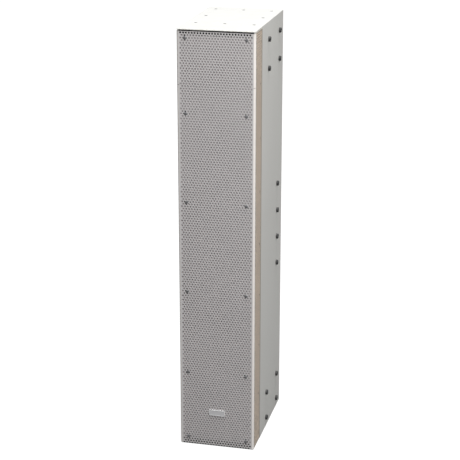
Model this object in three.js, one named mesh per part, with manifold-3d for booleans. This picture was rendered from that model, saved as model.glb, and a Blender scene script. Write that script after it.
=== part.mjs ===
// Column PA system: a slim two-way line array in a white plywood cabinet. Eight woofers sit on a baffle
// behind a U-shaped steel grille, and a bar in front of them carries three tweeters for each woofer.
// Millimetres. +Z is up, -Y is the front, and the origin is on the floor under the cabinet's middle.
import * as THREE from "three";
import { mergeVertices } from "three/addons/utils/BufferGeometryUtils.js";
import Module from "manifold-3d";

const wasm = await Module();
wasm.setup();

// ---- driving dimensions ----
const WIDTH = 160;
const DEPTH = 270;
const HEIGHT = 896;
const WOOFERS = 8;
const BOARD = 12; // cabinet plywood
const BAFFLE = 15; // thickness of the board that holds the woofers
const SHEET = 1.5; // grille steel
const FLANGE = 62; // how far the grille wraps back along each side
const BEND = 4; // outer radius of the grille's corners
const GAP = 0.3; // between pieces that touch
const HEAD = 1; // how far screw heads and badge stand out from the grille
const LIP = 1.5; // rim of the top panel above the grille
const GRILLE_DROP = 4.5; // from the cabinet's top to the grille's edge
const GRILLE_LIFT = 2; // from the floor to the grille's edge
const TONGUE = 20; // how far the side panels reach forward behind the grille
const FOAM = 5; // acoustic foam behind the grille
const STEEL = 3; // rigging plates
const MARGIN = 1; // how far a cutting tool runs past what it cuts
const BOLT_PITCH = 60; // between rigging bolts
const BOLT_SHANK = 3; // radii
const BOLT_HOLE = 3.3;
const BOLT_HEAD = 5.5;
const BOLT_PROUD = 4.5; // height of the side bolts' heads above the painted face
const BOLT_RECESS = 0.1; // depth of the headless bolts below the top and the underside

// ---- planes and positions worked out from them ----
const FRONT = -DEPTH / 2;
const BACK = DEPTH / 2;
const SIDE = WIDTH / 2;
const GRILLE_FRONT = FRONT + HEAD;
const GRILLE_INSIDE = GRILLE_FRONT + SHEET;
const BAFFLE_FRONT = FRONT + FLANGE;
const NOSE = GRILLE_INSIDE + 1; // how far the end panels reach forward inside the grille
const FOAM_BACK = GRILLE_INSIDE + GAP + FOAM;
const INNER_SIDE = SIDE - BOARD - GAP; // half the clear width inside the cabinet
const FLOOR = BOARD + GAP; // clear height inside, low and high
const CEILING = HEIGHT - BOARD - GAP;
const INNER_BACK = BACK - BOARD - GAP;
const BEHIND_FLANGE = SIDE - SHEET - 2 * GAP; // half width of what the grille wraps round
const BAY = BOARD + 2; // the woofers fill the height between two bays this far from the ends
const PITCH = (HEIGHT - 2 * BAY) / WOOFERS; // from one woofer to the next
const woofersZ = [...Array(WOOFERS).keys()].map((i) => HEIGHT - BAY - PITCH * (i + 0.5));
const boundariesZ = [...Array(WOOFERS - 1).keys()].map((i) => BAY + PITCH * (i + 1));

const behindFront = (distance) => FRONT + distance;
const belowTop = (distance) => HEIGHT - distance;

// Rigging bolts: a frame of eight in the top and in the bottom, and twelve in each side.
const capBolts = [75, 159, 243].flatMap((distance, row) =>
  [-BOLT_PITCH, 0, BOLT_PITCH]
    .filter((x) => row !== 1 || x !== 0)
    .map((x) => [x, behindFront(distance)]),
);
const SIDE_COLUMNS = [behindFront(122), behindFront(227)];
const upperBolts = SIDE_COLUMNS.flatMap((y) => [36, 96].map((drop) => [y, belowTop(drop)]));
const lowerBolts = SIDE_COLUMNS.flatMap((y) => [22, 82].map((z) => [y, z]));
const MIDDLE_COLUMN = behindFront(218);
const middleBolts = [0, 1, 2, 3].map((i) => [MIDDLE_COLUMN, belowTop(366 + i * BOLT_PITCH)]);
const sideBolts = [...upperBolts, ...middleBolts, ...lowerBolts];

// Grille screws run down both edges of the front, into two rails.
const SCREW_X = 62.4;
const screwsZ = [18, 170, 355, 548, 729, 878].map(belowTop);
const SCREW_HEAD = 4; // radii
const SCREW_SHANK = 2;
const SCREW_BOSS = 4.5;

// Woofers and tweeters, measured from the face of the baffle, with y towards the back.
const BAFFLE_HOLE = 47.8; // radius
const VOICE_COIL = 12.7; // radius
const MAGNET = { radius: 36, front: 34, back: 56, groove: 12 };
const BAR = { half: 15, front: -39, back: -33 };
const TWEETER = { pitch: PITCH / 3, plate: 5.4, dome: 5.4, radius: 13.5 };

// The connector plate in the back, with what it carries measured from its middle.
const PLATE = { half: [59, 69], z: 130, step: 7, ledge: 7, sheet: 1.5 };
const GASKET = 1;
const PLATE_SEAT = BACK - PLATE.step; // the ledge that the gasket lies on
const PLATE_BACK = PLATE_SEAT + GASKET + 2 * GAP;
const PLATE_FRONT = PLATE_BACK + PLATE.sheet;
const SOCKET = { x: 26, z: 22, barrel: 12, flange: 14.5, mouth: 10.5, depth: 19, floor: 6 };
const BLOCK = { half: [30, 12], z: -30, base: 1.6, height: 3.4, wall: 3, tail: 14 };

// The crossover, on standoffs against the back panel.
const CROSSOVER = { half: [45, 75], z: 340, standoff: 6, sheet: 1.6, foot: 3 };
const COIL = { inner: 10, outer: 26, depth: 24, z: 35 };
const CAPACITOR = { radius: 13, length: 50, z: -35 };

const whitePaint = finish(0xe9e8e4, 0.45, 0);
const birch = finish(0xc9a878, 0.7, 0);
const blackPaint = finish(0x1d1d1f, 0.6, 0);
const zincSteel = finish(0xa9abac, 0.35, 0.9);
const aluminium = finish(0xb9babc, 0.4, 0.9);
const ferrite = finish(0x2b2b2d, 0.75, 0.1);
const blackPlastic = finish(0x18181a, 0.5, 0);
const conePaper = finish(0x26262a, 0.85, 0);
const foamBlack = finish(0x121214, 0.95, 0);
const wadding = finish(0xb6b2a4, 0.95, 0);
const copper = finish(0xb06a3c, 0.4, 0.8);
const boardGreen = finish(0x2b5a3a, 0.6, 0);
const badgeSilver = finish(0xd6d7d8, 0.3, 0.6);
const rubber = finish(0x161616, 0.9, 0);

function finish(color, roughness, metalness) {
  return new THREE.MeshStandardMaterial({ color, roughness, metalness });
}

// ---- solids ----
function toSolid(geometry) {
  const bare = geometry.clone();
  bare.deleteAttribute("normal");
  bare.deleteAttribute("uv");
  const merged = mergeVertices(bare, 1e-4);
  return new wasm.Manifold(
    new wasm.Mesh({
      numProp: 3,
      vertProperties: new Float32Array(merged.attributes.position.array),
      triVerts: new Uint32Array(merged.index.array),
    }),
  );
}

function toGeometry(solid) {
  const mesh = solid.getMesh();
  const geometry = new THREE.BufferGeometry();
  geometry.setAttribute("position", new THREE.BufferAttribute(mesh.vertProperties, 3));
  geometry.setIndex(new THREE.BufferAttribute(mesh.triVerts, 1));
  const flat = geometry.toNonIndexed();
  flat.computeVertexNormals();
  return flat;
}

function join(...geometries) {
  return toGeometry(geometries.map(toSolid).reduce((whole, piece) => whole.add(piece)));
}

function cut(geometry, ...tools) {
  return toGeometry(tools.map(toSolid).reduce((left, tool) => left.subtract(tool), toSolid(geometry)));
}

function box([x0, x1], [y0, y1], [z0, z1]) {
  return new THREE.BoxGeometry(x1 - x0, y1 - y0, z1 - z0).translate(
    (x0 + x1) / 2,
    (y0 + y1) / 2,
    (z0 + z1) / 2,
  );
}

const centred = (half) => [-half, half];
const onSide = (hand, from, to) => (hand > 0 ? [from, to] : [-to, -from]);

// A cylinder between two places along an axis, through the point given by its other two coordinates.
function rod(axis, radius, [from, to], [a, b], sides = 12) {
  const cylinder = new THREE.CylinderGeometry(radius, radius, to - from, sides);
  const middle = (from + to) / 2;
  if (axis === "x") return cylinder.rotateZ(Math.PI / 2).translate(middle, a, b);
  if (axis === "y") return cylinder.translate(a, middle, b);
  return cylinder.rotateX(Math.PI / 2).translate(a, b, middle);
}

// A turned piece about its own Y axis, from [radius, y] points that run from its front to its back.
function turned(points, sides = 18) {
  return new THREE.LatheGeometry(
    points.map(([radius, y]) => new THREE.Vector2(radius, y)),
    sides,
  );
}

function extrudedUp(points, [z0, z1]) {
  const shape = new THREE.Shape(points.map(([x, y]) => new THREE.Vector2(x, y)));
  return new THREE.ExtrudeGeometry(shape, { depth: z1 - z0, bevelEnabled: false }).translate(0, 0, z0);
}

const part = new THREE.Group();

function place(parent, name, geometry, material, x = 0, y = 0, z = 0) {
  const mesh = new THREE.Mesh(geometry, material);
  mesh.name = name;
  mesh.position.set(x, y, z);
  parent.add(mesh);
}

// ---- cabinet ----
// Each side is one board with a tongue that reaches forward behind the grille's flange.
function sidePanel(hand) {
  const outline = [
    [INNER_SIDE + GAP, BAFFLE_FRONT - TONGUE],
    [BEHIND_FLANGE, BAFFLE_FRONT - TONGUE],
    [BEHIND_FLANGE, BAFFLE_FRONT + GAP],
    [SIDE, BAFFLE_FRONT + GAP],
    [SIDE, BACK],
    [INNER_SIDE + GAP, BACK],
  ];
  const mirrored = outline.map(([x, y]) => [hand * x, y]);
  const board = extrudedUp(hand > 0 ? mirrored : mirrored.reverse(), [FLOOR, CEILING]);
  const through = onSide(hand, INNER_SIDE, SIDE + MARGIN);
  return cut(board, ...sideBolts.map((at) => rod("x", BOLT_HOLE, through, at, 10)));
}

function capHoles(z0, z1) {
  return capBolts.map((at) => rod("z", BOLT_HOLE, [z0, z1], at, 10));
}

// The top's thin rim covers the grille's upper edge; the board below it fits inside the grille.
function topPanel() {
  const rim = box(centred(SIDE), [FRONT, BACK], [-LIP, 0]);
  const board = box(centred(SIDE), [BAFFLE_FRONT + GAP, BACK], [-BOARD, 0]);
  const nose = box(centred(BEHIND_FLANGE), [NOSE, BACK - BOARD], [-BOARD, 0]);
  return cut(join(rim, board, nose), ...capHoles(-BOARD - MARGIN, MARGIN));
}

function bottomPanel() {
  const board = box(centred(SIDE), [BAFFLE_FRONT + GAP, BACK], [0, BOARD]);
  const nose = box(centred(BEHIND_FLANGE), [NOSE, BACK - BOARD], [0, BOARD]);
  return cut(join(board, nose), ...capHoles(-MARGIN, BOARD + MARGIN));
}

// ---- connector plate in the back ----
function backPanel() {
  const [halfX, halfZ] = PLATE.half;
  const board = box(centred(INNER_SIDE), [INNER_BACK + GAP, BACK], [FLOOR, CEILING]);
  const round = 1; // clearance between the plate and its pocket
  const pocket = box(centred(halfX + round), [PLATE_SEAT, BACK + MARGIN], centred(halfZ + round));
  const depth = [INNER_BACK - MARGIN, BACK + MARGIN];
  const window = box(centred(halfX - PLATE.ledge), depth, centred(halfZ - PLATE.ledge));
  return cut(board, pocket.translate(0, 0, PLATE.z), window.translate(0, 0, PLATE.z));
}

function gasket() {
  const [halfX, halfZ] = PLATE.half;
  const ring = box(centred(halfX), [0, GASKET], centred(halfZ));
  const inside = [-MARGIN, GASKET + MARGIN];
  return cut(ring, box(centred(halfX - PLATE.ledge), inside, centred(halfZ - PLATE.ledge)));
}

function connectorPlate() {
  const [halfX, halfZ] = PLATE.half;
  const sheet = box(centred(halfX), [0, PLATE.sheet], centred(halfZ));
  const through = [-MARGIN, PLATE.sheet + MARGIN];
  const holes = [-SOCKET.x, SOCKET.x].map((x) => rod("y", SOCKET.barrel + 0.7, through, [x, SOCKET.z], 18));
  const slot = box(centred(BLOCK.half[0] - 4), through, centred(5)).translate(0, 0, BLOCK.z);
  return cut(sheet, ...holes, slot);
}

// A four-pole twist-lock socket: a barrel through the plate with a flange on its face.
function socket() {
  const { barrel, flange, mouth, depth, floor } = SOCKET;
  return turned([
    [0, -depth - floor],
    [barrel, -depth - floor],
    [barrel, GAP],
    [flange, GAP],
    [flange, GAP + 2],
    [mouth, GAP + 2],
    [mouth, -depth],
    [0, -depth],
  ]);
}

// Screw terminals: a bar with raised walls between four clamps.
function terminalBlock() {
  const [halfX, halfZ] = BLOCK.half;
  const bar = box(centred(halfX), [0, BLOCK.base], centred(halfZ));
  const wall = box(centred(BLOCK.wall / 2), [0, BLOCK.height], centred(halfZ));
  const spacing = (2 * halfX - BLOCK.wall) / 4;
  const walls = [-2, -1, 0, 1, 2].map((i) => wall.clone().translate(i * spacing, 0, 0));
  const tail = box(centred(halfX - 6), [-BLOCK.tail, BLOCK.base / 2], centred(4));
  return join(bar, tail, ...walls);
}

// ---- inside the cabinet ----
function baffle() {
  const board = box(centred(INNER_SIDE), [0, BAFFLE], [FLOOR + STEEL + GAP, CEILING - STEEL - GAP]);
  const through = [-MARGIN, BAFFLE + MARGIN];
  return cut(board, ...woofersZ.map((z) => rod("y", BAFFLE_HOLE, through, [0, z], 18)));
}

function brace() {
  const half = 5;
  const front = BAFFLE_FRONT + BAFFLE + GAP;
  const board = box(centred(INNER_SIDE), [front, INNER_BACK], centred(half));
  const opening = box(centred(INNER_SIDE - 25), [front + 40, INNER_BACK - 30], centred(half + MARGIN));
  return cut(board, opening);
}

// A steel channel under the top panel (or over the bottom one, turned over), with the bolts that come out
// through three panels. z = 0 is the outside of the cabinet and the channel hangs below it.
function riggingChannel(sideRows) {
  const skin = -BOARD - 2 * GAP;
  const rear = INNER_BACK - 1;
  const outside = INNER_SIDE - GAP;
  const drop = 100;
  const web = box(centred(outside), [BAFFLE_FRONT + 3, rear], [skin - STEEL, skin]);
  const walls = [-1, 1].map((hand) =>
    box(onSide(hand, outside - STEEL, outside), [BAFFLE_FRONT + BAFFLE + GAP, rear], [skin - drop, skin]),
  );
  const upright = capBolts.map((at) => rod("z", BOLT_SHANK, [skin - 1, -BOLT_RECESS], at, 8));
  const sideways = sideRows.flatMap((at) => [-1, 1].flatMap((hand) => sideBolt(hand, at)));
  return join(web, ...walls, ...upright, ...sideways);
}

function sideBolt(hand, at) {
  const shank = rod("x", BOLT_SHANK, onSide(hand, INNER_SIDE - 1, SIDE + BOLT_PROUD / 2), at, 8);
  return [shank, rod("x", BOLT_HEAD, onSide(hand, SIDE + GAP, SIDE + BOLT_PROUD), at)];
}

function middleRail(hand) {
  const x = onSide(hand, INNER_SIDE - GAP - STEEL - 1, INNER_SIDE - GAP);
  const heights = middleBolts.map(([, z]) => z);
  const spare = 20; // steel past the end bolts
  const z = [Math.min(...heights) - spare, Math.max(...heights) + spare];
  const bar = box(x, [MIDDLE_COLUMN - 15, MIDDLE_COLUMN + 15], z);
  return join(bar, ...middleBolts.flatMap((at) => sideBolt(hand, at)));
}

// ---- woofer, with y = 0 at the face of the baffle ----
function basket() {
  const floor = MAGNET.front - GAP;
  const inside = floor - 1.2;
  return turned([
    [14, inside],
    [29, inside],
    [45, 5],
    [45, -4 - GAP],
    [52, -4 - GAP],
    [52, -GAP],
    [47, -GAP],
    [47, 6],
    [33, floor],
    [14, floor],
    [14, inside],
  ]);
}

function magnet() {
  const { radius, front, back, groove } = MAGNET;
  return turned([
    [0, front],
    [VOICE_COIL - 1.7, front],
    [VOICE_COIL - 1.7, front + groove],
    [VOICE_COIL + 1.3, front + groove],
    [VOICE_COIL + 1.3, front],
    [radius, front],
    [radius, back],
    [0, back],
  ]);
}

// Dust cap, cone, half-roll surround and voice coil former, which move as one.
function cone() {
  return turned([
    [0, 9],
    [14, 14],
    [35.5, -1.5],
    [39.8, -5.2],
    [44, -1.5],
    [44, -0.2],
    [39.8, -3.9],
    [36, 0.2],
    [VOICE_COIL + 0.5, 17],
    [VOICE_COIL + 0.5, 38],
    [VOICE_COIL - 0.5, 38],
    [VOICE_COIL - 0.5, 15],
    [0, 10.4],
  ]);
}

function woofer(number) {
  const group = new THREE.Group();
  group.position.set(0, BAFFLE_FRONT, woofersZ[number - 1]);
  place(group, `woofer_basket_${number}`, basket(), blackPaint);
  place(group, `woofer_magnet_${number}`, magnet(), ferrite);
  place(group, `woofer_cone_${number}`, cone(), conePaper);
  return group;
}

// ---- tweeters ----
function tweeterBar() {
  const strip = box(centred(BAR.half), [BAR.front, BAR.back], [FLOOR + GAP, CEILING - GAP]);
  const webs = boundariesZ.map((z) => box(centred(12), [BAR.back - 1, -GAP], [z - 1.5, z + 1.5]));
  return join(strip, ...webs);
}

// Three dome tweeters on one plate, with y = 0 at the plate's face.
function tweeterModule() {
  const { pitch, plate: thickness, dome: rise, radius } = TWEETER;
  const plate = box(centred(BAR.half + 1), [0, thickness], centred(PITCH / 2 - 1));
  const dome = turned(
    [
      [0, -rise],
      [radius * 0.6, 0.2 - 0.8 * rise],
      [radius, 1],
      [0, 1],
    ],
    12,
  );
  const domes = [-1, 0, 1].map((i) => dome.clone().translate(0, 0, i * pitch));
  return join(plate, ...domes);
}

// ---- behind the grille ----
// A rail stands off the baffle on legs. Its bosses pass through the foam, and its screws hold the grille.
function grilleRail(hand) {
  const middle = hand * SCREW_X;
  const x = [middle - 5, middle + 5];
  const stripBack = FOAM_BACK + 6;
  const strip = box(x, [FOAM_BACK + GAP, stripBack], [FLOOR + GAP, CEILING - GAP]);
  const legsZ = [FLOOR + 8, ...boundariesZ, CEILING - 8];
  const legs = legsZ.map((z) => box(x, [stripBack - 1, BAFFLE_FRONT - GAP], [z - 4, z + 4]));
  const fixings = screwsZ.flatMap((z) => [
    rod("y", SCREW_BOSS, [GRILLE_INSIDE + GAP, FOAM_BACK + 1], [middle, z], 8),
    rod("y", SCREW_SHANK, [FRONT + 0.5, FOAM_BACK], [middle, z], 6),
    rod("y", SCREW_HEAD, [FRONT, GRILLE_FRONT - GAP], [middle, z], 8),
  ]);
  return join(strip, ...legs, ...fixings);
}

function grilleFoam() {
  const out = BEHIND_FLANGE + GAP;
  const inside = out - FOAM;
  const front = GRILLE_INSIDE + GAP;
  const outline = [
    [-out, front + BEND],
    [-out + BEND, front],
    [out - BEND, front],
    [out, front + BEND],
    [out, BAFFLE_FRONT - TONGUE - GAP],
    [inside, BAFFLE_FRONT - TONGUE - GAP],
    [inside, FOAM_BACK],
    [-inside, FOAM_BACK],
    [-inside, BAFFLE_FRONT - TONGUE - GAP],
    [-out, BAFFLE_FRONT - TONGUE - GAP],
  ];
  const foam = extrudedUp(outline, [FLOOR + GAP, CEILING - GAP]);
  return cut(foam, ...screwHoles(SCREW_BOSS + 0.5, [FRONT, FOAM_BACK + MARGIN], 8));
}

function screwHoles(radius, depth, sides) {
  return [-SCREW_X, SCREW_X].flatMap((x) => screwsZ.map((z) => rod("y", radius, depth, [x, z], sides)));
}

// The grille is one sheet folded into a U with rounded corners.
function grille() {
  const outline = new THREE.Shape();
  outline.moveTo(-SIDE, BAFFLE_FRONT);
  outline.lineTo(-SIDE, GRILLE_FRONT + BEND);
  outline.absarc(-SIDE + BEND, GRILLE_FRONT + BEND, BEND, Math.PI, 1.5 * Math.PI, false);
  outline.absarc(SIDE - BEND, GRILLE_FRONT + BEND, BEND, 1.5 * Math.PI, 2 * Math.PI, false);
  outline.lineTo(SIDE, BAFFLE_FRONT);
  outline.lineTo(SIDE - SHEET, BAFFLE_FRONT);
  outline.absarc(SIDE - BEND, GRILLE_FRONT + BEND, BEND - SHEET, 0, -0.5 * Math.PI, true);
  outline.absarc(-SIDE + BEND, GRILLE_FRONT + BEND, BEND - SHEET, 1.5 * Math.PI, Math.PI, true);
  outline.lineTo(-SIDE + SHEET, BAFFLE_FRONT);
  const sheet = new THREE.ExtrudeGeometry(outline, {
    depth: HEIGHT - GRILLE_DROP - GRILLE_LIFT,
    bevelEnabled: false,
    curveSegments: 3,
  }).translate(0, 0, GRILLE_LIFT);
  return cut(sheet, ...screwHoles(SCREW_SHANK + 0.5, [FRONT, GRILLE_INSIDE + MARGIN], 6));
}

function badge() {
  return box(centred(17), [FRONT, GRILLE_FRONT - GAP], centred(6.5));
}

// ---- crossover ----
function crossoverBoard() {
  const [halfX, halfZ] = CROSSOVER.half;
  const { sheet, standoff, foot } = CROSSOVER;
  const board = box(centred(halfX), [0, sheet], centred(halfZ));
  const corners = centred(halfX - 2 * foot).flatMap((x) => centred(halfZ - 2 * foot).map((z) => [x, z]));
  const feet = corners.map((at) => rod("y", foot, [sheet / 2, sheet + standoff], at, 8));
  return join(board, ...feet);
}

function coil() {
  const { inner, outer, depth } = COIL;
  return turned([
    [inner, -depth],
    [outer, -depth],
    [outer, 0],
    [inner, 0],
    [inner, -depth],
  ]);
}

// ---- assembly ----
place(part, "side_panel_left", sidePanel(-1), whitePaint);
place(part, "side_panel_right", sidePanel(1), whitePaint);
place(part, "top_panel", topPanel(), whitePaint, 0, 0, HEIGHT);
place(part, "bottom_panel", bottomPanel(), whitePaint);
place(part, "back_panel", backPanel(), whitePaint);
place(part, "baffle", baffle(), blackPaint, 0, BAFFLE_FRONT, 0);
place(part, "lower_brace", brace(), birch, 0, 0, boundariesZ[1]);
place(part, "upper_brace", brace(), birch, 0, 0, boundariesZ[5]);

const upperRows = upperBolts.map(([y, z]) => [y, z - HEIGHT]);
place(part, "top_rigging_channel", riggingChannel(upperRows), zincSteel, 0, 0, HEIGHT);
// The lower channel is turned over, with its side bolts at their own heights.
const turnedOver = new THREE.Group();
turnedOver.scale.z = -1;
part.add(turnedOver);
const lowerRows = lowerBolts.map(([y, z]) => [y, -z]);
place(turnedOver, "bottom_rigging_channel", riggingChannel(lowerRows), zincSteel);
place(part, "middle_rail_left", middleRail(-1), zincSteel);
place(part, "middle_rail_right", middleRail(1), zincSteel);

place(part, "grille", grille(), whitePaint);
place(part, "grille_foam", grilleFoam(), foamBlack);
place(part, "grille_rail_left", grilleRail(-1), blackPaint);
place(part, "grille_rail_right", grilleRail(1), blackPaint);
place(part, "badge", badge(), badgeSilver, 0, 0, belowTop(818));

place(part, "tweeter_bar", tweeterBar(), aluminium, 0, BAFFLE_FRONT, 0);
const tweeterFace = BAFFLE_FRONT + BAR.front - GAP - TWEETER.plate;
woofersZ.forEach((z, i) => {
  part.add(woofer(i + 1));
  place(part, `tweeter_module_${i + 1}`, tweeterModule(), blackPlastic, 0, tweeterFace, z);
});

const crossoverFace = INNER_BACK - CROSSOVER.standoff - CROSSOVER.sheet;
place(part, "crossover_board", crossoverBoard(), boardGreen, 0, crossoverFace, CROSSOVER.z);
place(part, "crossover_coil", coil(), copper, 0, crossoverFace - GAP, CROSSOVER.z + COIL.z);
const { radius: canRadius, length: canLength } = CAPACITOR;
const can = rod("z", canRadius, centred(canLength / 2), [0, crossoverFace - canRadius - GAP], 16);
place(part, "crossover_capacitor", can, blackPlastic, 0, 0, CROSSOVER.z + CAPACITOR.z);

place(part, "connector_gasket", gasket(), rubber, 0, PLATE_SEAT + GAP, PLATE.z);
place(part, "connector_plate", connectorPlate(), blackPaint, 0, PLATE_BACK, PLATE.z);
place(part, "input_socket", socket(), blackPlastic, SOCKET.x, PLATE_FRONT, PLATE.z + SOCKET.z);
place(part, "link_socket", socket(), blackPlastic, -SOCKET.x, PLATE_FRONT, PLATE.z + SOCKET.z);
place(part, "terminal_block", terminalBlock(), blackPlastic, 0, PLATE_FRONT + GAP, PLATE.z + BLOCK.z);

const pad = box(centred(58), [INNER_BACK - 25, INNER_BACK - GAP], [boundariesZ[5] + 15, CEILING - 25]);
place(part, "damping_pad", pad, wadding);

export default part;
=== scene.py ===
"""Finished surfaces of a slim column loudspeaker, built round its frame. Metres, +Z up, front at -Y."""

import math

import bmesh
import bpy
from bpy.props import FloatProperty, FloatVectorProperty, IntProperty, PointerProperty
from bpy.types import Operator, Panel, PropertyGroup
from mathutils import Matrix, Vector


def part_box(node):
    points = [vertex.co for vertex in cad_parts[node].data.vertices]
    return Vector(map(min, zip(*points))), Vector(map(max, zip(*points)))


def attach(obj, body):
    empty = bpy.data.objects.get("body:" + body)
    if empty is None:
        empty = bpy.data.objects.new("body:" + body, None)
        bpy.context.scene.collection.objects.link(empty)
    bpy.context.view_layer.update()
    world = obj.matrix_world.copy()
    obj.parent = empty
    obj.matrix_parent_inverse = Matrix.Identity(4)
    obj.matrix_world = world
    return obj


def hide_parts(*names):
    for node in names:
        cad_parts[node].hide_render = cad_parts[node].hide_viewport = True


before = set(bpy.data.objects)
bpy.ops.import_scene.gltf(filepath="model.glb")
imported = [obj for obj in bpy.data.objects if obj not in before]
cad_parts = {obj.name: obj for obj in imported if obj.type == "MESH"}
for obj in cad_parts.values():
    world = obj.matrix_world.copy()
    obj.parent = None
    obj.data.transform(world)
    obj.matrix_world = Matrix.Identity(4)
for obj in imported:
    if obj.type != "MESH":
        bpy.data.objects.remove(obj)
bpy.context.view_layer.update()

bl_info = {
    "name": "Column PA System",
    "version": (1, 0, 0),
    "blender": (4, 5, 0),
    "location": "View3D > Sidebar > Column PA",
    "description": "Builds the finished surfaces of a slim column loudspeaker round its frame",
    "category": "Object",
}

TOP_PANEL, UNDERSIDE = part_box("top_panel"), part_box("bottom_panel")
LOW, HIGH = Vector((*TOP_PANEL[0].xy, UNDERSIDE[0].z)), TOP_PANEL[1]  # the painted cabinet, without its bolts
BOARD = UNDERSIDE[1].z - LOW.z  # thickness of the cabinet's boards
NOSE = UNDERSIDE[0].y  # front of the cabinet's boards, behind the grille
BODY = "cabinet"
WOOFERS = sum(name.startswith("woofer_cone_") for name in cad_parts)
MM = 0.001
CLOSE = 1e-6  # places nearer than this are the same


# ---------------------------------------------------------------- settings
class CabinetSettings(PropertyGroup):
    """Sizes and colour of the painted cabinet."""

    corner: FloatProperty(
        name="Corner Radius", description="Rounding of the upright back corners",
        default=2.0 * MM, unit="LENGTH")
    edge: FloatProperty(
        name="Edge Radius", description="Rounding of the top and bottom edges",
        default=0.6 * MM, unit="LENGTH")
    rim: FloatProperty(
        name="Rim", description="Thickness of the top's rim over the grille",
        default=1.5 * MM, unit="LENGTH")
    bolt_hole: FloatProperty(
        name="Bolt Hole", description="Radius of the hole for each rigging bolt",
        default=3.3 * MM, unit="LENGTH")
    paint: FloatVectorProperty(
        name="Paint", description="Colour of the cabinet's paint", subtype="COLOR",
        size=3, default=(0.72, 0.72, 0.70), min=0, max=1)


class GrilleSettings(PropertyGroup):
    """Perforation and folding of the steel grille."""

    sheet: FloatProperty(
        name="Sheet", description="Thickness of the steel", default=0.8 * MM, unit="LENGTH")
    bend: FloatProperty(
        name="Bend", description="Outer radius of the folded corners", default=4.0 * MM, unit="LENGTH")
    hole: FloatProperty(
        name="Hole", description="Diameter of each round hole", default=4.0 * MM, unit="LENGTH")
    bay: FloatProperty(
        name="Bay", description="Height from one screw in the grille's sides to the next",
        default=112 * MM, unit="LENGTH")
    rows: IntProperty(
        name="Rows", description="Rows of holes in one bay, an even number", default=22, min=2)
    border: FloatProperty(
        name="Border", description="Plain steel between the front's holes and the cabinet's side",
        default=5.1 * MM, unit="LENGTH")
    slit: FloatProperty(
        name="Slit", description="Height of the relief slit across the folded corners",
        default=0.9 * MM, unit="LENGTH")
    paint: FloatVectorProperty(
        name="Paint", description="Colour of the powder coat", subtype="COLOR",
        size=3, default=(0.70, 0.685, 0.695), min=0, max=1)
    lining: FloatVectorProperty(
        name="Lining", description="Colour of the acoustic foam behind the holes", subtype="COLOR",
        size=3, default=(0.42, 0.39, 0.41), min=0, max=1)


class FixingSettings(PropertyGroup):
    """Bolts and screws."""

    bolt_head: FloatProperty(
        name="Bolt Head", description="Radius of the rigging bolts' heads",
        default=5.5 * MM, unit="LENGTH")
    bolt_socket: FloatProperty(
        name="Bolt Socket", description="Radius of the six-sided socket in each bolt",
        default=2.7 * MM, unit="LENGTH")
    bolt_shank: FloatProperty(
        name="Bolt Shank", description="Radius of the rigging bolts' shanks",
        default=3.2 * MM, unit="LENGTH")
    recess: FloatProperty(
        name="Recess", description="Depth of the headless bolts below the top and the underside",
        default=0.1 * MM, unit="LENGTH")
    grille_head: FloatProperty(
        name="Grille Screw Head", description="Radius of the grille's screw heads",
        default=3.4 * MM, unit="LENGTH")
    flange_head: FloatProperty(
        name="Flange Screw Head", description="Radius of the small screws through the grille's sides",
        default=1.9 * MM, unit="LENGTH")


class StudioSettings(PropertyGroup):
    """Camera and lights."""

    azimuth: FloatProperty(
        name="Azimuth", description="How far the camera stands to the right",
        default=math.radians(13.49),
        subtype="ANGLE")
    elevation: FloatProperty(
        name="Elevation", description="How far the camera looks down", default=math.radians(18.10),
        subtype="ANGLE")
    distance: FloatProperty(
        name="Distance", description="From the camera to what it looks at", default=3.096, unit="LENGTH")
    lens: FloatProperty(name="Lens", description="Focal length in millimetres", default=113.85)
    key_power: FloatProperty(
        name="Key", description="Power of the light at the front right in watts", default=33.5)
    top_power: FloatProperty(name="Top", description="Strength of the soft light overhead", default=3.5)
    room: FloatProperty(name="Room", description="Strength of the light from all round", default=0.11)
    floor: FloatProperty(name="Floor", description="Brightness of the floor's surface", default=0.15)
    floor_lift: FloatProperty(
        name="Floor Lift", description="How much brighter the floor looks to the camera", default=0.9)


def settings(name):
    return getattr(bpy.context.scene, name)


# ---------------------------------------------------------------- modelling helpers
def nothing_selected():
    active = bpy.context.view_layer.objects.active
    if active and active.mode != "OBJECT":
        bpy.ops.object.mode_set(mode="OBJECT")
    bpy.ops.object.select_all(action="DESELECT")


def only(piece):
    """Makes a piece the one selected, active object."""
    nothing_selected()
    piece.select_set(True)
    bpy.context.view_layer.objects.active = piece


def settled(name):
    """Names the new active object and puts its place into its mesh."""
    piece = bpy.context.object
    piece.name = piece.data.name = name
    bpy.ops.object.transform_apply(location=True, rotation=True, scale=True)
    return piece


def block(name, low, high):
    nothing_selected()
    low, high = Vector(low), Vector(high)
    bpy.ops.mesh.primitive_cube_add(size=1, location=(low + high) / 2, scale=high - low)
    return settled(name)


TURNS = {"x": (0, math.pi / 2, 0), "y": (-math.pi / 2, 0, 0), "z": (0, 0, 0)}
PLACES = {
    "x": lambda along, a, b: (along, a, b),
    "y": lambda along, a, b: (a, along, b),
    "z": lambda along, a, b: (a, b, along),
}


def rod(name, axis, radius, ends, across, sides=32, far_radius=None):
    """A round bar along an axis, or a taper when far_radius differs."""
    nothing_selected()
    start, end = ends
    bpy.ops.mesh.primitive_cone_add(
        vertices=sides, radius1=radius, radius2=radius if far_radius is None else far_radius,
        depth=end - start, location=PLACES[axis]((start + end) / 2, *across), rotation=TURNS[axis])
    return settled(name)


def joined(name, pieces):
    """Joins pieces that don't touch into one mesh."""
    only(pieces[0])
    for piece in pieces:
        piece.select_set(True)
    bpy.ops.object.join()
    whole = bpy.context.object
    whole.name = whole.data.name = name
    return whole


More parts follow.
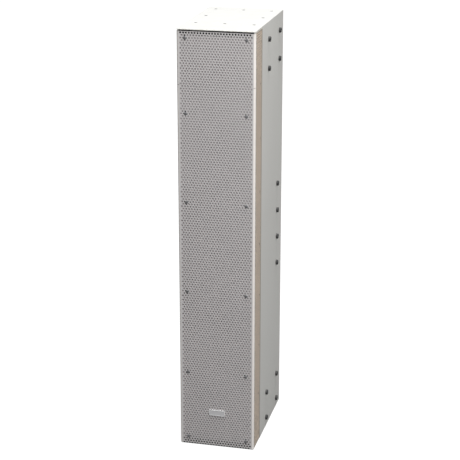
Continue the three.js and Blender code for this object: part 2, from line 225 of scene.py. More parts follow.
def applied(piece, kind, **values):
    only(piece)
    modifier = piece.modifiers.new(kind.title(), kind)
    for key, value in values.items():
        setattr(modifier, key, value)
    bpy.ops.object.modifier_apply(modifier=modifier.name)
    return piece


def combined(piece, tool, operation="DIFFERENCE"):
    applied(piece, "BOOLEAN", object=tool, operation=operation, solver="MANIFOLD")
    bpy.data.objects.remove(tool)
    return piece


def editing(piece, kind, test):
    """Enters edit mode with the faces or edges selected that pass the test."""
    only(piece)
    bpy.ops.object.mode_set(mode="EDIT")
    bpy.context.tool_settings.mesh_select_mode = (kind == "VERT", kind == "EDGE", kind == "FACE")
    bpy.ops.mesh.select_all(action="DESELECT")
    mesh = bmesh.from_edit_mesh(piece.data)
    for item in {"VERT": mesh.verts, "EDGE": mesh.edges, "FACE": mesh.faces}[kind]:
        if test(item):
            item.select_set(True)
    mesh.select_flush_mode()
    bmesh.update_edit_mesh(piece.data)


def rounded(piece, radius, test, segments=3):
    """Bevels the edges that pass the test."""
    editing(piece, "EDGE", test)
    bpy.ops.mesh.bevel(offset=radius, offset_type="OFFSET", segments=segments, profile=0.5, affect="EDGES")
    bpy.ops.object.mode_set(mode="OBJECT")
    return piece


def runs_along(axis):
    """A test for edges that lie along one axis."""
    others = [i for i in range(3) if i != "xyz".index(axis)]

    def test(edge):
        a, b = (v.co for v in edge.verts)
        return all(abs(a[i] - b[i]) < CLOSE for i in others)

    return test


def softened(piece, radius, segments=2, angle=math.radians(35)):
    """Rounds every sharp edge."""
    return applied(piece, "BEVEL", width=radius, segments=segments, limit_method="ANGLE",
                   angle_limit=angle, use_clamp_overlap=True, harden_normals=False)


def smoothed(piece, angle=math.radians(35)):
    """Smooths the shading but keeps sharp edges and flat faces as they are."""
    only(piece)
    bpy.ops.object.shade_smooth_by_angle(angle=angle)
    return applied(piece, "WEIGHTED_NORMAL", keep_sharp=True, weight=100)


def turned(name, points, centre, steps=48, axis="y"):
    """Spins a profile of (radius, place along the axis) points round an axis and merges its doubles."""
    nothing_selected()
    centre = Vector(centre)
    along = Vector([float(letter == axis) for letter in "xyz"])
    out = Vector((0, 0, 1)) if axis != "z" else Vector((1, 0, 0))
    spots = [centre + out * radius + along * place for radius, place in points]
    bpy.ops.mesh.primitive_plane_add(size=MM, location=(0, 0, 0))
    piece = settled(name)
    editing(piece, "VERT", lambda vertex: True)
    bpy.ops.mesh.merge(type="CENTER")
    bpy.ops.transform.translate(value=spots[0])
    for here, there in zip(spots, spots[1:]):
        bpy.ops.mesh.extrude_vertices_move(TRANSFORM_OT_translate={"value": there - here})
    bpy.ops.mesh.select_all(action="SELECT")
    bpy.ops.mesh.spin(steps=steps, angle=2 * math.pi, center=centre, axis=along)
    bpy.ops.mesh.select_all(action="SELECT")
    bpy.ops.mesh.remove_doubles(threshold=CLOSE)
    bpy.ops.mesh.normals_make_consistent(inside=False)
    bpy.ops.object.mode_set(mode="OBJECT")
    return piece


def copied(piece, name, offset=(0, 0, 0)):
    """A copy with its own mesh, moved inside it."""
    twin = piece.copy()
    twin.data = piece.data.copy()
    twin.name = twin.data.name = name
    bpy.context.collection.objects.link(twin)
    twin.data.transform(Matrix.Translation(offset))
    return twin


def finished(piece, finish, body=BODY, replaces=()):
    """Gives a piece its material and its body, and hides the nodes that it stands for."""
    piece.data.materials.clear()
    piece.data.materials.append(finish)
    return mounted(piece, body, replaces)


def mounted(piece, body=BODY, replaces=()):
    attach(piece, body)
    if replaces:
        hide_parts(*replaces)
    return piece


# ---------------------------------------------------------------- shader groups
def new_group(name, inputs, outputs):
    """A shader node group with named sockets. Each socket is (name, type, default)."""
    group = bpy.data.node_groups.new(name, "ShaderNodeTree")
    for direction, sockets in (("INPUT", inputs), ("OUTPUT", outputs)):
        for socket_name, kind, default in sockets:
            socket = group.interface.new_socket(
                name=socket_name, in_out=direction, socket_type=f"NodeSocket{kind}")
            if default is not None:
                socket.default_value = default
    return group, group.nodes.new("NodeGroupInput"), group.nodes.new("NodeGroupOutput")


def linked(tree, source, target):
    tree.links.new(source, target)


def object_place(tree):
    """Coordinates that stay fixed to the object."""
    return tree.nodes.new("ShaderNodeTexCoord").outputs["Object"]


def noise(tree, scale, detail=4.0, coordinates=None):
    """A noise texture fixed to the object. Scale is a number or a socket."""
    texture = tree.nodes.new("ShaderNodeTexNoise")
    texture.inputs["Detail"].default_value = detail
    if coordinates is None:
        coordinates = object_place(tree)
    linked(tree, coordinates, texture.inputs["Vector"])
    if isinstance(scale, (int, float)):
        texture.inputs["Scale"].default_value = scale
    else:
        linked(tree, scale, texture.inputs["Scale"])
    return texture.outputs["Fac"]


def calculated(tree, operation, *values, clamp=False):
    node = tree.nodes.new("ShaderNodeMath")
    node.operation = operation
    node.use_clamp = clamp
    for socket, value in zip(node.inputs, values):
        if isinstance(value, (int, float)):
            socket.default_value = value
        else:
            linked(tree, value, socket)
    return node.outputs[0]


def product(tree, first, second, clamp=False):
    return calculated(tree, "MULTIPLY", first, second, clamp=clamp)


def spread(tree, value, low, high):
    """Stretches the values between low and high to between 0 and 1."""
    node = tree.nodes.new("ShaderNodeMapRange")
    node.inputs["From Min"].default_value = low
    node.inputs["From Max"].default_value = high
    linked(tree, value, node.inputs["Value"])
    return node.outputs["Result"]


def blended(tree, factor, first, second, mode="MIX"):
    """Mixes two colours, each a tuple or a socket."""
    node = tree.nodes.new("ShaderNodeMix")
    node.data_type = "RGBA"
    node.blend_type = mode
    for socket, value in ((node.inputs[0], factor), (node.inputs[6], first), (node.inputs[7], second)):
        if isinstance(value, (int, float)):
            socket.default_value = value
        elif isinstance(value, (tuple, list)):
            socket.default_value = (*value, 1.0)
        else:
            linked(tree, value, socket)
    return node.outputs[2]


def grain_group():
    """Fine surface grain: a little colour and roughness variation and a bump, all at one grain size."""
    group, given, made = new_group(
        "Surface Grain",
        [("Colour", "Color", (0.8, 0.8, 0.8, 1)), ("Variation", "Float", 0.06), ("Roughness", "Float", 0.5),
         ("Roughness Variation", "Float", 0.1), ("Grain Scale", "Float", 900.0), ("Bump", "Float", 0.1),
         ("Bump Distance", "Float", 0.0002)],
        [("Colour", "Color", None), ("Roughness", "Float", None), ("Normal", "Vector", None)])
    fine = noise(group, given.outputs["Grain Scale"], 3.0)
    cloud = noise(group, 9.0, 5.0)
    both = calculated(group, "ADD", product(group, fine, 0.4), product(group, cloud, 0.6))
    uneven = calculated(group, "SUBTRACT", both, 0.5)
    lift = calculated(group, "MULTIPLY_ADD", uneven, product(group, given.outputs["Variation"], 2.0), 1.0)
    grey = group.nodes.new("ShaderNodeCombineColor")
    for socket in grey.inputs:
        linked(group, lift, socket)
    colour = blended(group, 1.0, given.outputs["Colour"], grey.outputs[0], "MULTIPLY")
    rough = calculated(group, "MULTIPLY_ADD", uneven, given.outputs["Roughness Variation"],
                       given.outputs["Roughness"], clamp=True)
    bump = group.nodes.new("ShaderNodeBump")
    linked(group, given.outputs["Bump"], bump.inputs["Strength"])
    linked(group, given.outputs["Bump Distance"], bump.inputs["Distance"])
    linked(group, fine, bump.inputs["Height"])
    linked(group, colour, made.inputs["Colour"])
    linked(group, rough, made.inputs["Roughness"])
    linked(group, bump.outputs["Normal"], made.inputs["Normal"])
    return group


def overlaid(group, given, made, mask, second):
    """Lays a group's second colour over its first where the mask is, by the given amount."""
    factor = product(group, mask, given.outputs["Amount"], clamp=True)
    colour = blended(group, factor, given.outputs["Colour"], given.outputs[second])
    linked(group, colour, made.inputs["Colour"])


def wear_group():
    """Rubbed edges: the worn colour shows where the surface turns outwards, broken up by noise."""
    group, given, made = new_group(
        "Edge Wear",
        [("Colour", "Color", (0.8, 0.8, 0.8, 1)), ("Worn Colour", "Color", (0.4, 0.4, 0.4, 1)),
         ("Amount", "Float", 0.5)],
        [("Colour", "Color", None)])
    shape = group.nodes.new("ShaderNodeNewGeometry").outputs["Pointiness"]
    edge = spread(group, shape, 0.53, 0.60)
    broken = spread(group, noise(group, 160.0, 6.0), 0.45, 0.70)
    overlaid(group, given, made, product(group, edge, broken), "Worn Colour")
    return group


def dust_group():
    """Dust that settles on what faces up, and a faint darkening within 60 mm of the floor."""
    group, given, made = new_group(
        "Dust",
        [("Colour", "Color", (0.8, 0.8, 0.8, 1)), ("Dust Colour", "Color", (0.45, 0.43, 0.40, 1)),
         ("Amount", "Float", 0.1)],
        [("Colour", "Color", None)])
    facing = group.nodes.new("ShaderNodeSeparateXYZ")
    linked(group, group.nodes.new("ShaderNodeNewGeometry").outputs["Normal"], facing.inputs[0])
    place = group.nodes.new("ShaderNodeSeparateXYZ")
    linked(group, object_place(group), place.inputs[0])
    up = spread(group, facing.outputs["Z"], 0.2, 1.0)
    # Darker towards the floor: the bottom 60 mm take the dust colour too.
    low = spread(group, place.outputs["Z"], 60 * MM, 0)
    patch = spread(group, noise(group, 45.0, 6.0), 0.35, 0.75)
    dust_and_low_darkening = product(group, calculated(group, "MAXIMUM", up, low), patch)
    overlaid(group, given, made, dust_and_low_darkening, "Dust Colour")
    return group


# ---------------------------------------------------------------- materials
def placed(tree, group, **values):
    """Places a group in a material with its own values. A colour is given as a tuple of three."""
    node = tree.nodes.new("ShaderNodeGroup")
    node.node_tree = group
    for name, value in values.items():
        is_colour = isinstance(value, tuple)
        node.inputs[name.replace("_", " ")].default_value = (*value, 1.0) if is_colour else value
    return node


def shared(name, make):
    """The group of that name, made when it is first asked for."""
    return bpy.data.node_groups.get(name) or make()


def finish(name, colour, roughness=0.5, metallic=0.0, variation=0.06, rough_variation=0.12, scale=900.0,
           bump=0.1, depth=0.2 * MM, worn=None, wear=0.0, dust=0.0, coat=0.0, sheen=0.0, pattern=None):
    """A material with grain, with edge wear, and dust with a darkening near the floor, where they are given.
    A pattern replaces the colour.
    """
    material = bpy.data.materials.new(name)
    material.use_nodes = True
    tree = material.node_tree
    shader = tree.nodes["Principled BSDF"]
    shader.inputs["Metallic"].default_value = metallic
    shader.inputs["Coat Weight"].default_value = coat
    shader.inputs["Sheen Weight"].default_value = sheen
    grain = placed(tree, shared("Surface Grain", grain_group), Colour=tuple(colour), Variation=variation,
                   Roughness=roughness, Roughness_Variation=rough_variation, Grain_Scale=scale, Bump=bump,
                   Bump_Distance=depth)
    if pattern:
        linked(tree, pattern(tree), grain.inputs["Colour"])
    top = grain.outputs["Colour"]
    if wear:
        rubbed = placed(tree, shared("Edge Wear", wear_group), Worn_Colour=worn, Amount=wear)
        linked(tree, top, rubbed.inputs["Colour"])
        top = rubbed.outputs["Colour"]
    if dust:
        dusty = placed(tree, shared("Dust", dust_group), Amount=dust)
        linked(tree, top, dusty.inputs["Colour"])
        top = dusty.outputs["Colour"]
    linked(tree, top, shader.inputs["Base Color"])
    linked(tree, grain.outputs["Roughness"], shader.inputs["Roughness"])
    linked(tree, grain.outputs["Normal"], shader.inputs["Normal"])
    return material


def cabinet_paint():
    return finish("cabinet paint", settings("pa_cabinet").paint, roughness=0.42, variation=0.035,
                  scale=650, bump=0.22, depth=0.12 * MM, worn=(0.60, 0.55, 0.46), wear=0.5, dust=0.12)


def grille_paint():
    return finish("grille powder coat", settings("pa_grille").paint, roughness=0.30, variation=0.03,
                  scale=1400, bump=0.12, depth=0.06 * MM, worn=(0.45, 0.44, 0.42), wear=0.25, dust=0.08,
                  coat=0.6)


def foam_finish():
    return finish("acoustic foam", settings("pa_grille").lining, roughness=0.95, variation=0.35,
                  scale=1600, bump=0.9, depth=0.6 * MM, sheen=0.05)


def grille_coats_with_painted_light():
    """The powder coat on the grille's front, then lit and shaded copies of it: painted shade in the front's
    holes, a painted highlight on the folds, painted shade on the sides and a painted highlight in the sides'
    holes.
    """
    coats_and_painted_light = [grille_paint()]
    # Each colour below is the same powder coat with light or shade painted in: darker in the front's holes,
    # brighter on the folds, darker on the sides, brighter in the sides' holes.
    for name, colour in (
        ("painted shade in the front's holes", (0.54, 0.47, 0.44)),
        ("painted highlight on the folds", (0.95, 0.91, 0.885)),
        ("painted shade on the grille's sides", (0.39, 0.35, 0.305)),
        ("painted highlight in the sides' holes", (0.70, 0.58, 0.47)),
    ):
        coats_and_painted_light.append(finish(name, colour, roughness=0.4, variation=0.05, scale=1400, bump=0.1,
                            depth=0.06 * MM))
    return coats_and_painted_light


def gap_shade_finish():
    # Near-black colour that paints the shade inside the gaps over and under the grille.
    return finish("painted gap shade", (0.012, 0.012, 0.013), roughness=0.95, variation=0.4, scale=1800,
                  bump=0.7, depth=0.4 * MM)


def dark_steel():
    return finish("blackened steel", (0.10, 0.10, 0.105), roughness=0.38, metallic=0.85, variation=0.2,
                  rough_variation=0.3, scale=420, bump=0.12, depth=0.06 * MM, worn=(0.5, 0.49, 0.47),
                  wear=0.5)


def bright_steel():
    return finish("plated screws", (0.27, 0.27, 0.28), roughness=0.3, metallic=0.4, variation=0.12,
                  rough_variation=0.2, scale=420, bump=0.08, depth=0.04 * MM, worn=(0.4, 0.39, 0.38),
                  wear=0.3)


def bolt_steel():
    return finish("blackened bolts", (0.028, 0.029, 0.031), roughness=0.66, variation=0.2,
                  rough_variation=0.3, scale=420, bump=0.15, depth=0.06 * MM, worn=(0.16, 0.155, 0.145),
                  wear=0.5, dust=0.12)


def zinc_steel():
    return finish("zinc-plated steel", (0.52, 0.53, 0.54), roughness=0.34, metallic=0.9, variation=0.12,
                  rough_variation=0.3, scale=240, bump=0.1, depth=0.05 * MM, worn=(0.36, 0.33, 0.29),
                  wear=0.3, dust=0.1)


def black_paint(name="black paint"):
    return finish(name, (0.022, 0.022, 0.024), roughness=0.5, variation=0.25, scale=900, bump=0.25,
                  depth=0.12 * MM, worn=(0.20, 0.17, 0.13), wear=0.5, dust=0.1)


def black_plastic(name="black moulded plastic"):
    return finish(name, (0.020, 0.020, 0.021), roughness=0.42, variation=0.15, scale=1500, bump=0.18,
                  depth=0.06 * MM, worn=(0.10, 0.10, 0.10), wear=0.3, dust=0.12)


def badge_finish():
    return finish("brushed badge plate", (0.92, 0.92, 0.93), roughness=0.35, metallic=0.1,
                  variation=0.05, rough_variation=0.25, scale=300, bump=0.04, depth=0.03 * MM,
                  pattern=brushed((0.86, 0.86, 0.87), (0.97, 0.97, 0.98), (1, 30, 30), 120))


def badge_enamel():
    return finish("badge enamel", (0.70, 0.70, 0.72), roughness=0.3, variation=0.05, scale=500, bump=0.05)


def brushed(dark, light, stretch, scale):
    """A pattern of fine lines along the axis with the smallest stretch."""
    def pattern(tree):
        mapping = tree.nodes.new("ShaderNodeMapping")
        mapping.inputs["Scale"].default_value = stretch
        linked(tree, object_place(tree), mapping.inputs["Vector"])
        return blended(tree, noise(tree, scale, 6.0, mapping.outputs[0]), dark, light)

    return pattern


def banded(dark, light, spacing, direction="Z", distortion=0.0, detail=2.0):
    """A pattern of bands across one axis, such as plies, windings or traces."""
    def pattern(tree):
        wave = tree.nodes.new("ShaderNodeTexWave")
        wave.bands_direction = direction
        # One cycle of Blender's wave is a twentieth of 2 pi at a scale of one.
        wave.inputs["Scale"].default_value = 2 * math.pi / (20 * spacing)
        wave.inputs["Distortion"].default_value = distortion
        wave.inputs["Detail"].default_value = detail
        linked(tree, object_place(tree), wave.inputs["Vector"])
        return blended(tree, wave.outputs["Fac"], dark, light)

    return pattern


def paper_pulp():
    return finish("pressed paper", (0.03, 0.03, 0.034), roughness=0.85, variation=0.4, scale=700,
                  bump=0.5, depth=0.25 * MM,
                  pattern=brushed((0.022, 0.022, 0.026), (0.05, 0.05, 0.056), (30, 1, 30), 60))


def ferrite():
    return finish("ferrite", (0.035, 0.035, 0.038), roughness=0.7, variation=0.35, scale=380, bump=0.5,
                  depth=0.2 * MM, worn=(0.14, 0.14, 0.14), wear=0.4, dust=0.1)


def birch():
    return finish("birch plywood", (0.60, 0.44, 0.27), roughness=0.65, variation=0.12, scale=500,
                  bump=0.2, depth=0.15 * MM,
                  pattern=banded((0.46, 0.31, 0.17), (0.68, 0.51, 0.33), 1.4 * MM, "Z", 1.2))


def anodised():
    return finish("anodised bar", (0.55, 0.55, 0.56), roughness=0.32, metallic=0.9, variation=0.06,
                  rough_variation=0.2, scale=500, bump=0.05, depth=0.04 * MM,
                  pattern=brushed((0.48, 0.48, 0.49), (0.62, 0.62, 0.63), (40, 40, 1), 90))


def copper_winding():
    return finish("enamelled copper winding", (0.62, 0.27, 0.11), roughness=0.3, metallic=0.85,
                  variation=0.1, scale=300, bump=0.1,
                  pattern=banded((0.30, 0.11, 0.045), (0.74, 0.34, 0.15), 1.2 * MM, "Y"))


def circuit_board():
    return finish("circuit board", (0.03, 0.16, 0.07), roughness=0.35, variation=0.2, scale=260,
                  bump=0.12, depth=0.05 * MM, coat=0.3,
                  pattern=banded((0.018, 0.10, 0.045), (0.05, 0.22, 0.10), 5 * MM, "X", 3.0))


def wadding_finish():
    return finish("polyester wadding", (0.62, 0.60, 0.54), roughness=0.98, variation=0.25, scale=420,
                  bump=1.0, depth=1.5 * MM, sheen=0.4,
                  pattern=brushed((0.50, 0.48, 0.43), (0.72, 0.70, 0.64), (1, 4, 2.5), 70))


def rubber():
    return finish("gasket rubber", (0.018, 0.018, 0.018), roughness=0.8, variation=0.3, scale=600,
                  bump=0.3, depth=0.1 * MM, dust=0.15)


def contact_brass():
    return finish("plated contacts", (0.72, 0.60, 0.34), roughness=0.25, metallic=0.95, variation=0.1,
                  rough_variation=0.2, scale=700, bump=0.05, depth=0.03 * MM)


# ---------------------------------------------------------------- cabinet
# The bolts' rows in the top and bottom run across, and the sides' columns run upright.
CAP_ROWS = [LOW.y + distance * MM for distance in (75, 159, 243)]
BOLT_PITCH = 60 * MM
SIDE_COLUMNS = [LOW.y + distance * MM for distance in (122, 227)]
MIDDLE_COLUMN = LOW.y + 218 * MM
UPPER_ROWS = [HIGH.z - drop * MM for drop in (36, 96)]
LOWER_ROWS = [LOW.z + height * MM for height in (22, 82)]
MIDDLE_ROWS = [HIGH.z - 366 * MM - BOLT_PITCH * i for i in range(4)]
SPARE = 10 * MM  # how far a cut reaches past the surface that it opens
PLATE_CORNER, WINDOW_CORNER = 6 * MM, 5 * MM
PLATE_LEDGE = 7 * MM  # width of the seat round the window that the connector plate covers


def cap_bolts():
    """The places of the bolts in the top and the bottom: three rows of three, with none in the middle."""
    across = (-BOLT_PITCH, 0, BOLT_PITCH)
    return [(x, y) for y in CAP_ROWS for x in across if (x, y) != (0, CAP_ROWS[1])]


def side_bolts(heights):
    return [(y, z) for y in SIDE_COLUMNS for z in heights]


def middle_bolts():
    return [(MIDDLE_COLUMN, z) for z in MIDDLE_ROWS]


def bolt_places():
    """Each bolt as its axis, the way out along it, the face that it comes out at and its place across."""
    caps = [("z", way, edge.z, place) for way, edge in ((1, HIGH), (-1, LOW)) for place in cap_bolts()]
    places = side_bolts(UPPER_ROWS + LOWER_ROWS) + middle_bolts()
    return caps + [("x", way, way * HIGH.x, place) for way in (1, -1) for place in places]


def bolt_drills(radius, board):
    """A drill through the board for every bolt, with a chamfer at its mouth."""
    drills = []
    chamfer, past, sides = 0.4 * MM, MM, 24
    for axis, way, face, place in bolt_places():
        bore = sorted((face - way * (board + 2 * MM), face + way * past))
        drills.append(rod("drill", axis, radius, bore, place, sides))
        mouth = sorted((face - way * chamfer, face + way * past))
        near, far = sorted((radius, radius + chamfer + past), reverse=way < 0)
        drills.append(rod("drill", axis, near, mouth, place, sides, far_radius=far))
    return drills


class PA_OT_cabinet(Operator):
    """Build the painted cabinet as one glued and painted shell"""

    bl_idname = "pa_column.cabinet"
    bl_label = "Cabinet"

    def execute(self, context):
        own = settings("pa_cabinet")
        shell = block("painted_cabinet", LOW, HIGH)
        upright = runs_along("z")
        rounded(shell, own.corner, lambda edge: upright(edge) and edge.verts[0].co.y > 0, 4)
        rounded(shell, own.edge, self.is_brim, 2)
        for low, high in self.cuts(own.rim):
            combined(shell, block("cutter", low, high))
        for opening in self.plate_opening():
            combined(shell, opening)
        for drill in bolt_drills(own.bolt_hole, BOARD):
            combined(shell, drill)
        smoothed(shell, math.radians(30))
        panels = ("side_panel_left", "side_panel_right", "top_panel", "bottom_panel", "back_panel")
        finished(shell, cabinet_paint(), replaces=panels)
        return {"FINISHED"}

    def is_brim(self, edge):
        """Tells whether an edge lies level round the top or the underside."""
        first, second = (vertex.co.z for vertex in edge.verts)
        return abs(first - second) < MM and min(abs(first - LOW.z), abs(first - HIGH.z)) < CLOSE

    def cuts(self, rim):
        """The hollow, the room for the grille's front under the top's rim, and the steps for its sides."""
        inside, under_rim = HIGH.x - BOARD, HIGH.z - rim
        side_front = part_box("grille")[1].y + 0.3 * MM
        tongue_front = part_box("side_panel_right")[0].y
        behind_flange = HIGH.x - settings("pa_grille").sheet - 0.6 * MM
        front = LOW.y - SPARE
        cuts = [
            ((-inside, front, LOW.z + BOARD), (inside, HIGH.y - BOARD, HIGH.z - BOARD)),
            ((LOW.x - SPARE, front, LOW.z - SPARE), (HIGH.x + SPARE, NOSE, under_rim)),
        ]
        for way in (-1, 1):
            for end, bottom, top, inner in (
                (side_front, LOW.z - SPARE, under_rim, behind_flange),
                (tongue_front, LOW.z + BOARD, HIGH.z - BOARD, inside - SPARE),
            ):
                across = sorted((way * inner, way * (HIGH.x + SPARE)))
                cuts.append(((across[0], front, bottom), (across[1], end, top)))
        return cuts

    def plate_opening(self):
        """The pocket for the connector plate and its gasket, and the window through the board."""
        low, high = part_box("connector_plate")
        gasket_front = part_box("connector_gasket")[0].y - 0.3 * MM
        margin = MM
        pocket = block("pocket", (low.x - margin, gasket_front, low.z - margin),
                       (high.x + margin, HIGH.y + SPARE, high.z + margin))
        rounded(pocket, PLATE_CORNER, runs_along("y"), 6)
        window = block("window", (low.x + PLATE_LEDGE, HIGH.y - BOARD - SPARE, low.z + PLATE_LEDGE),
                       (high.x - PLATE_LEDGE, HIGH.y, high.z - PLATE_LEDGE))
        rounded(window, WINDOW_CORNER, runs_along("y"), 6)
        return pocket, window


# ---------------------------------------------------------------- grille
class FoldedSheet:
    """Where the grille's parts lie along its unfolded width, counted from the middle of the front."""

    def __init__(self):
        own = settings("pa_grille")
        self.low, self.high = (Vector(corner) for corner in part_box("grille"))
        self.front_y = self.low.y
        self.row = own.bay / own.rows
        self.flat = self.high.x - own.bend
        self.bend = own.bend
        self.arc = own.bend * math.pi / 2
        self.holes_end = self.high.x - own.border
        even_pitch = self.row * 2 / math.sqrt(3)  # at which every hole is as far from each neighbour
        self.columns = round(2 * self.holes_end / even_pitch - 0.5)
        self.pitch = 2 * self.holes_end / (self.columns + 0.5)
        flange = self.high.y - self.front_y - own.bend
        self.end = self.flat + self.arc + flange
        plain_steel, after_fold = 6 * MM, 1.7 * MM
        self.flange_columns = math.floor((flange - plain_steel) / self.pitch - 0.5)
        self.flange_holes = self.flat + self.arc + after_fold
        self.flange_holes_end = self.flange_holes + (self.flange_columns + 0.5) * self.pitch

    def folded(self, place):
        """A point of the flat sheet, moved to where folding takes it."""
        way = 1 if place.x > 0 else -1
        along = abs(place.x)
        if along <= self.flat:
            return Vector((place.x, self.front_y, place.z))
        if along <= self.flat + self.arc:
            turn = (along - self.flat) / self.bend
            return Vector((way * (self.flat + self.bend * math.sin(turn)),
                           self.front_y + self.bend * (1 - math.cos(turn)), place.z))
        back = self.front_y + self.bend + along - self.flat - self.arc
        return Vector((way * (self.flat + self.bend), back, place.z))


FACING_FRONT = (math.pi / 2, 0, 0)
TOUCHING = 1e-5  # edges of the sheet nearer than this are merged


def plain_patch(start, end, bottom, row, columns):
    """A plain stretch of one row, divided in two up its height as the pierced cells are."""
    nothing_selected()
    bpy.ops.mesh.primitive_grid_add(
        x_subdivisions=columns, y_subdivisions=2, size=1,
        location=((start + end) / 2, 0, bottom + row / 2), rotation=FACING_FRONT)
    bpy.context.object.scale = (end - start, row, 1)
    return settled("patch")


def pierced_cell(start, bottom, pitch, row, hole):
    """One cell of the sheet: a ring of twelve vertices round its hole, extruded to the cell's edge."""
    nothing_selected()
    middle = Vector((start + pitch / 2, 0, bottom + row / 2))
    bpy.ops.mesh.primitive_circle_add(vertices=12, radius=hole / 2, location=middle, rotation=FACING_FRONT)
    cell = settled("cell")
    bpy.ops.object.mode_set(mode="EDIT")
    bpy.ops.mesh.select_all(action="SELECT")
    bpy.ops.mesh.extrude_edges_move()
    mesh = bmesh.from_edit_mesh(cell.data)
    for vertex in mesh.verts:
        if vertex.select:
            across, up = vertex.co.x - middle.x, vertex.co.z - middle.z
            # The factor takes the ring's sines of 0, 30, 60 and 90 degrees to 0, 1, 2 and 2 quarters.
            quarters = round(2.3 * across / (hole / 2))
            level = 0 if abs(up) < hole / 8 else math.copysign(1, up)
            vertex.co = middle + Vector((quarters * pitch / 4, 0, level * row / 2))
    bmesh.update_edit_mesh(cell.data)
    bpy.ops.object.mode_set(mode="OBJECT")
    return cell


def repeated(piece, count, offset):
    """Repeats a piece of the sheet and merges the edges where the copies meet."""
    return applied(piece, "ARRAY", count=count, use_relative_offset=False, use_constant_offset=True,
                   constant_offset_displace=offset, use_merge_vertices=True, merge_threshold=TOUCHING)


def pierced_run(start, bottom, columns, sheet, hole, shifted):
    """A run of pierced cells with half a cell of plain steel before or after it."""
    half = sheet.pitch / 2
    first = start + half if shifted else start
    cells = pierced_cell(first, bottom, sheet.pitch, sheet.row, hole)
    repeated(cells, columns, (sheet.pitch, 0, 0))
    filler = start if shifted else start + columns * sheet.pitch
    return [cells, plain_patch(filler, filler + half, bottom, sheet.row, 2)]


def pair_of_rows(sheet, hole):
    """Two rows of the flat sheet, the second shifted by half a hole, from one rear edge to the other."""
    parts = []
    for shifted in (False, True):
        bottom = sheet.row if shifted else 0
        parts += pierced_run(-sheet.holes_end, bottom, sheet.columns, sheet, hole, shifted)
        for way in (-1, 1):
            run = sheet.flange_holes if way > 0 else -sheet.flange_holes_end
            parts += pierced_run(run, bottom, sheet.flange_columns, sheet, hole, shifted)
            for start, end, columns in (
                (sheet.holes_end, sheet.flat, 1),
                (sheet.flat, sheet.flat + sheet.arc, 6),
                (sheet.flat + sheet.arc, sheet.flange_holes, 1),
                (sheet.flange_holes_end, sheet.end, 1),
            ):
                edges = sorted((way * start, way * end))
                parts.append(plain_patch(*edges, bottom, sheet.row, columns))
    rows = joined("rows", parts)
    editing(rows, "VERT", lambda vertex: True)
    bpy.ops.mesh.remove_doubles(threshold=TOUCHING)
    bpy.ops.object.mode_set(mode="OBJECT")
    return rows


def turned_outwards(piece):
    """Makes every face of a mesh point the same way out."""
    editing(piece, "FACE", lambda face: True)
    bpy.ops.mesh.normals_make_consistent(inside=False)
    bpy.ops.object.mode_set(mode="OBJECT")
    return piece


def trimmed(piece, height, above):
    """Cuts the sheet off at a height, through any holes that lie there."""
    editing(piece, "VERT", lambda vertex: True)
    bpy.ops.mesh.bisect(plane_co=(0, 0, height), plane_no=(0, 0, 1), clear_outer=above, clear_inner=not above)
    bpy.ops.object.mode_set(mode="OBJECT")
    return piece


class PA_OT_grille(Operator):
    """Build the perforated steel grille as five stretches of one folded sheet"""

    bl_idname = "pa_column.grille"
    bl_label = "Grille"

    def execute(self, context):
        own = settings("pa_grille")
        sheet = FoldedSheet()
        rows = pair_of_rows(sheet, own.hole)
        coats_and_painted_light = grille_coats_with_painted_light()
        top = HIGH.z
        for number, bays in enumerate((1, 2, 2, 2, 1), 1):
            bottom = top - bays * own.bay
            stretch = copied(rows, f"grille_stretch_{number}")
            repeated(stretch, bays * own.rows // 2, (0, 0, 2 * sheet.row))
            stretch.data.transform(Matrix.Translation((0, 0, bottom)))
            if top > sheet.high.z:
                trimmed(stretch, sheet.high.z, True)
            if bottom < sheet.low.z:
                trimmed(stretch, sheet.low.z, False)
            shift = own.slit / 2 if number == 1 else -own.slit / 2
            self.shift_ends(stretch, sheet, (bottom, top), shift)
            self.fold(stretch, sheet)
            for coat in coats_and_painted_light:
                stretch.data.materials.append(coat)
            applied(stretch, "SOLIDIFY", thickness=own.sheet, offset=-1, use_even_offset=True,
                    material_offset_rim=1)
            self.coat(stretch, sheet)
            smoothed(stretch, math.radians(40))
            mounted(stretch, replaces=["grille"] if number == 1 else ())
            top = bottom
        bpy.data.objects.remove(rows)
        return {"FINISHED"}

    def shift_ends(self, stretch, sheet, ends, shift):
        """Moves a stretch's ends at the folds. Only the first moves up, so a slit opens under it alone."""
        for vertex in stretch.data.vertices:
            at_fold = sheet.holes_end + MM < abs(vertex.co.x) < sheet.flat + sheet.arc + MM / 2
            if at_fold and any(abs(vertex.co.z - end) < TOUCHING for end in ends):
                vertex.co.z += shift

    def fold(self, stretch, sheet):
        """Folds the sheet and turns its faces outwards."""
        for vertex in stretch.data.vertices:
            vertex.co = sheet.folded(vertex.co)
        stretch.data.update()
        turned_outwards(stretch)
        front = min(stretch.data.polygons, key=lambda face: (face.center.y, abs(face.center.x)))
        if front.normal.y > 0:
            stretch.data.flip_normals()

    def coat(self, stretch, sheet):
        """Gives the folds, the sides and the sides' holes their painted light: a painted highlight on the
        folds, painted shade on the sides and a painted highlight in the sides' holes.
        """
        # Material 2 is the folds' painted highlight, 3 the sides' painted shade; the sides' hole walls, at 1
        # from the solidify rim, move on to 4, a painted highlight.
        folds, first_of_sides = 2, 3
        for face in stretch.data.polygons:
            across, back = abs(face.center.x), face.center.y - sheet.front_y
            if back > sheet.bend:
                face.material_index += first_of_sides
            elif across > sheet.flat + 0.3 * MM and face.material_index == 0:
                face.material_index = folds


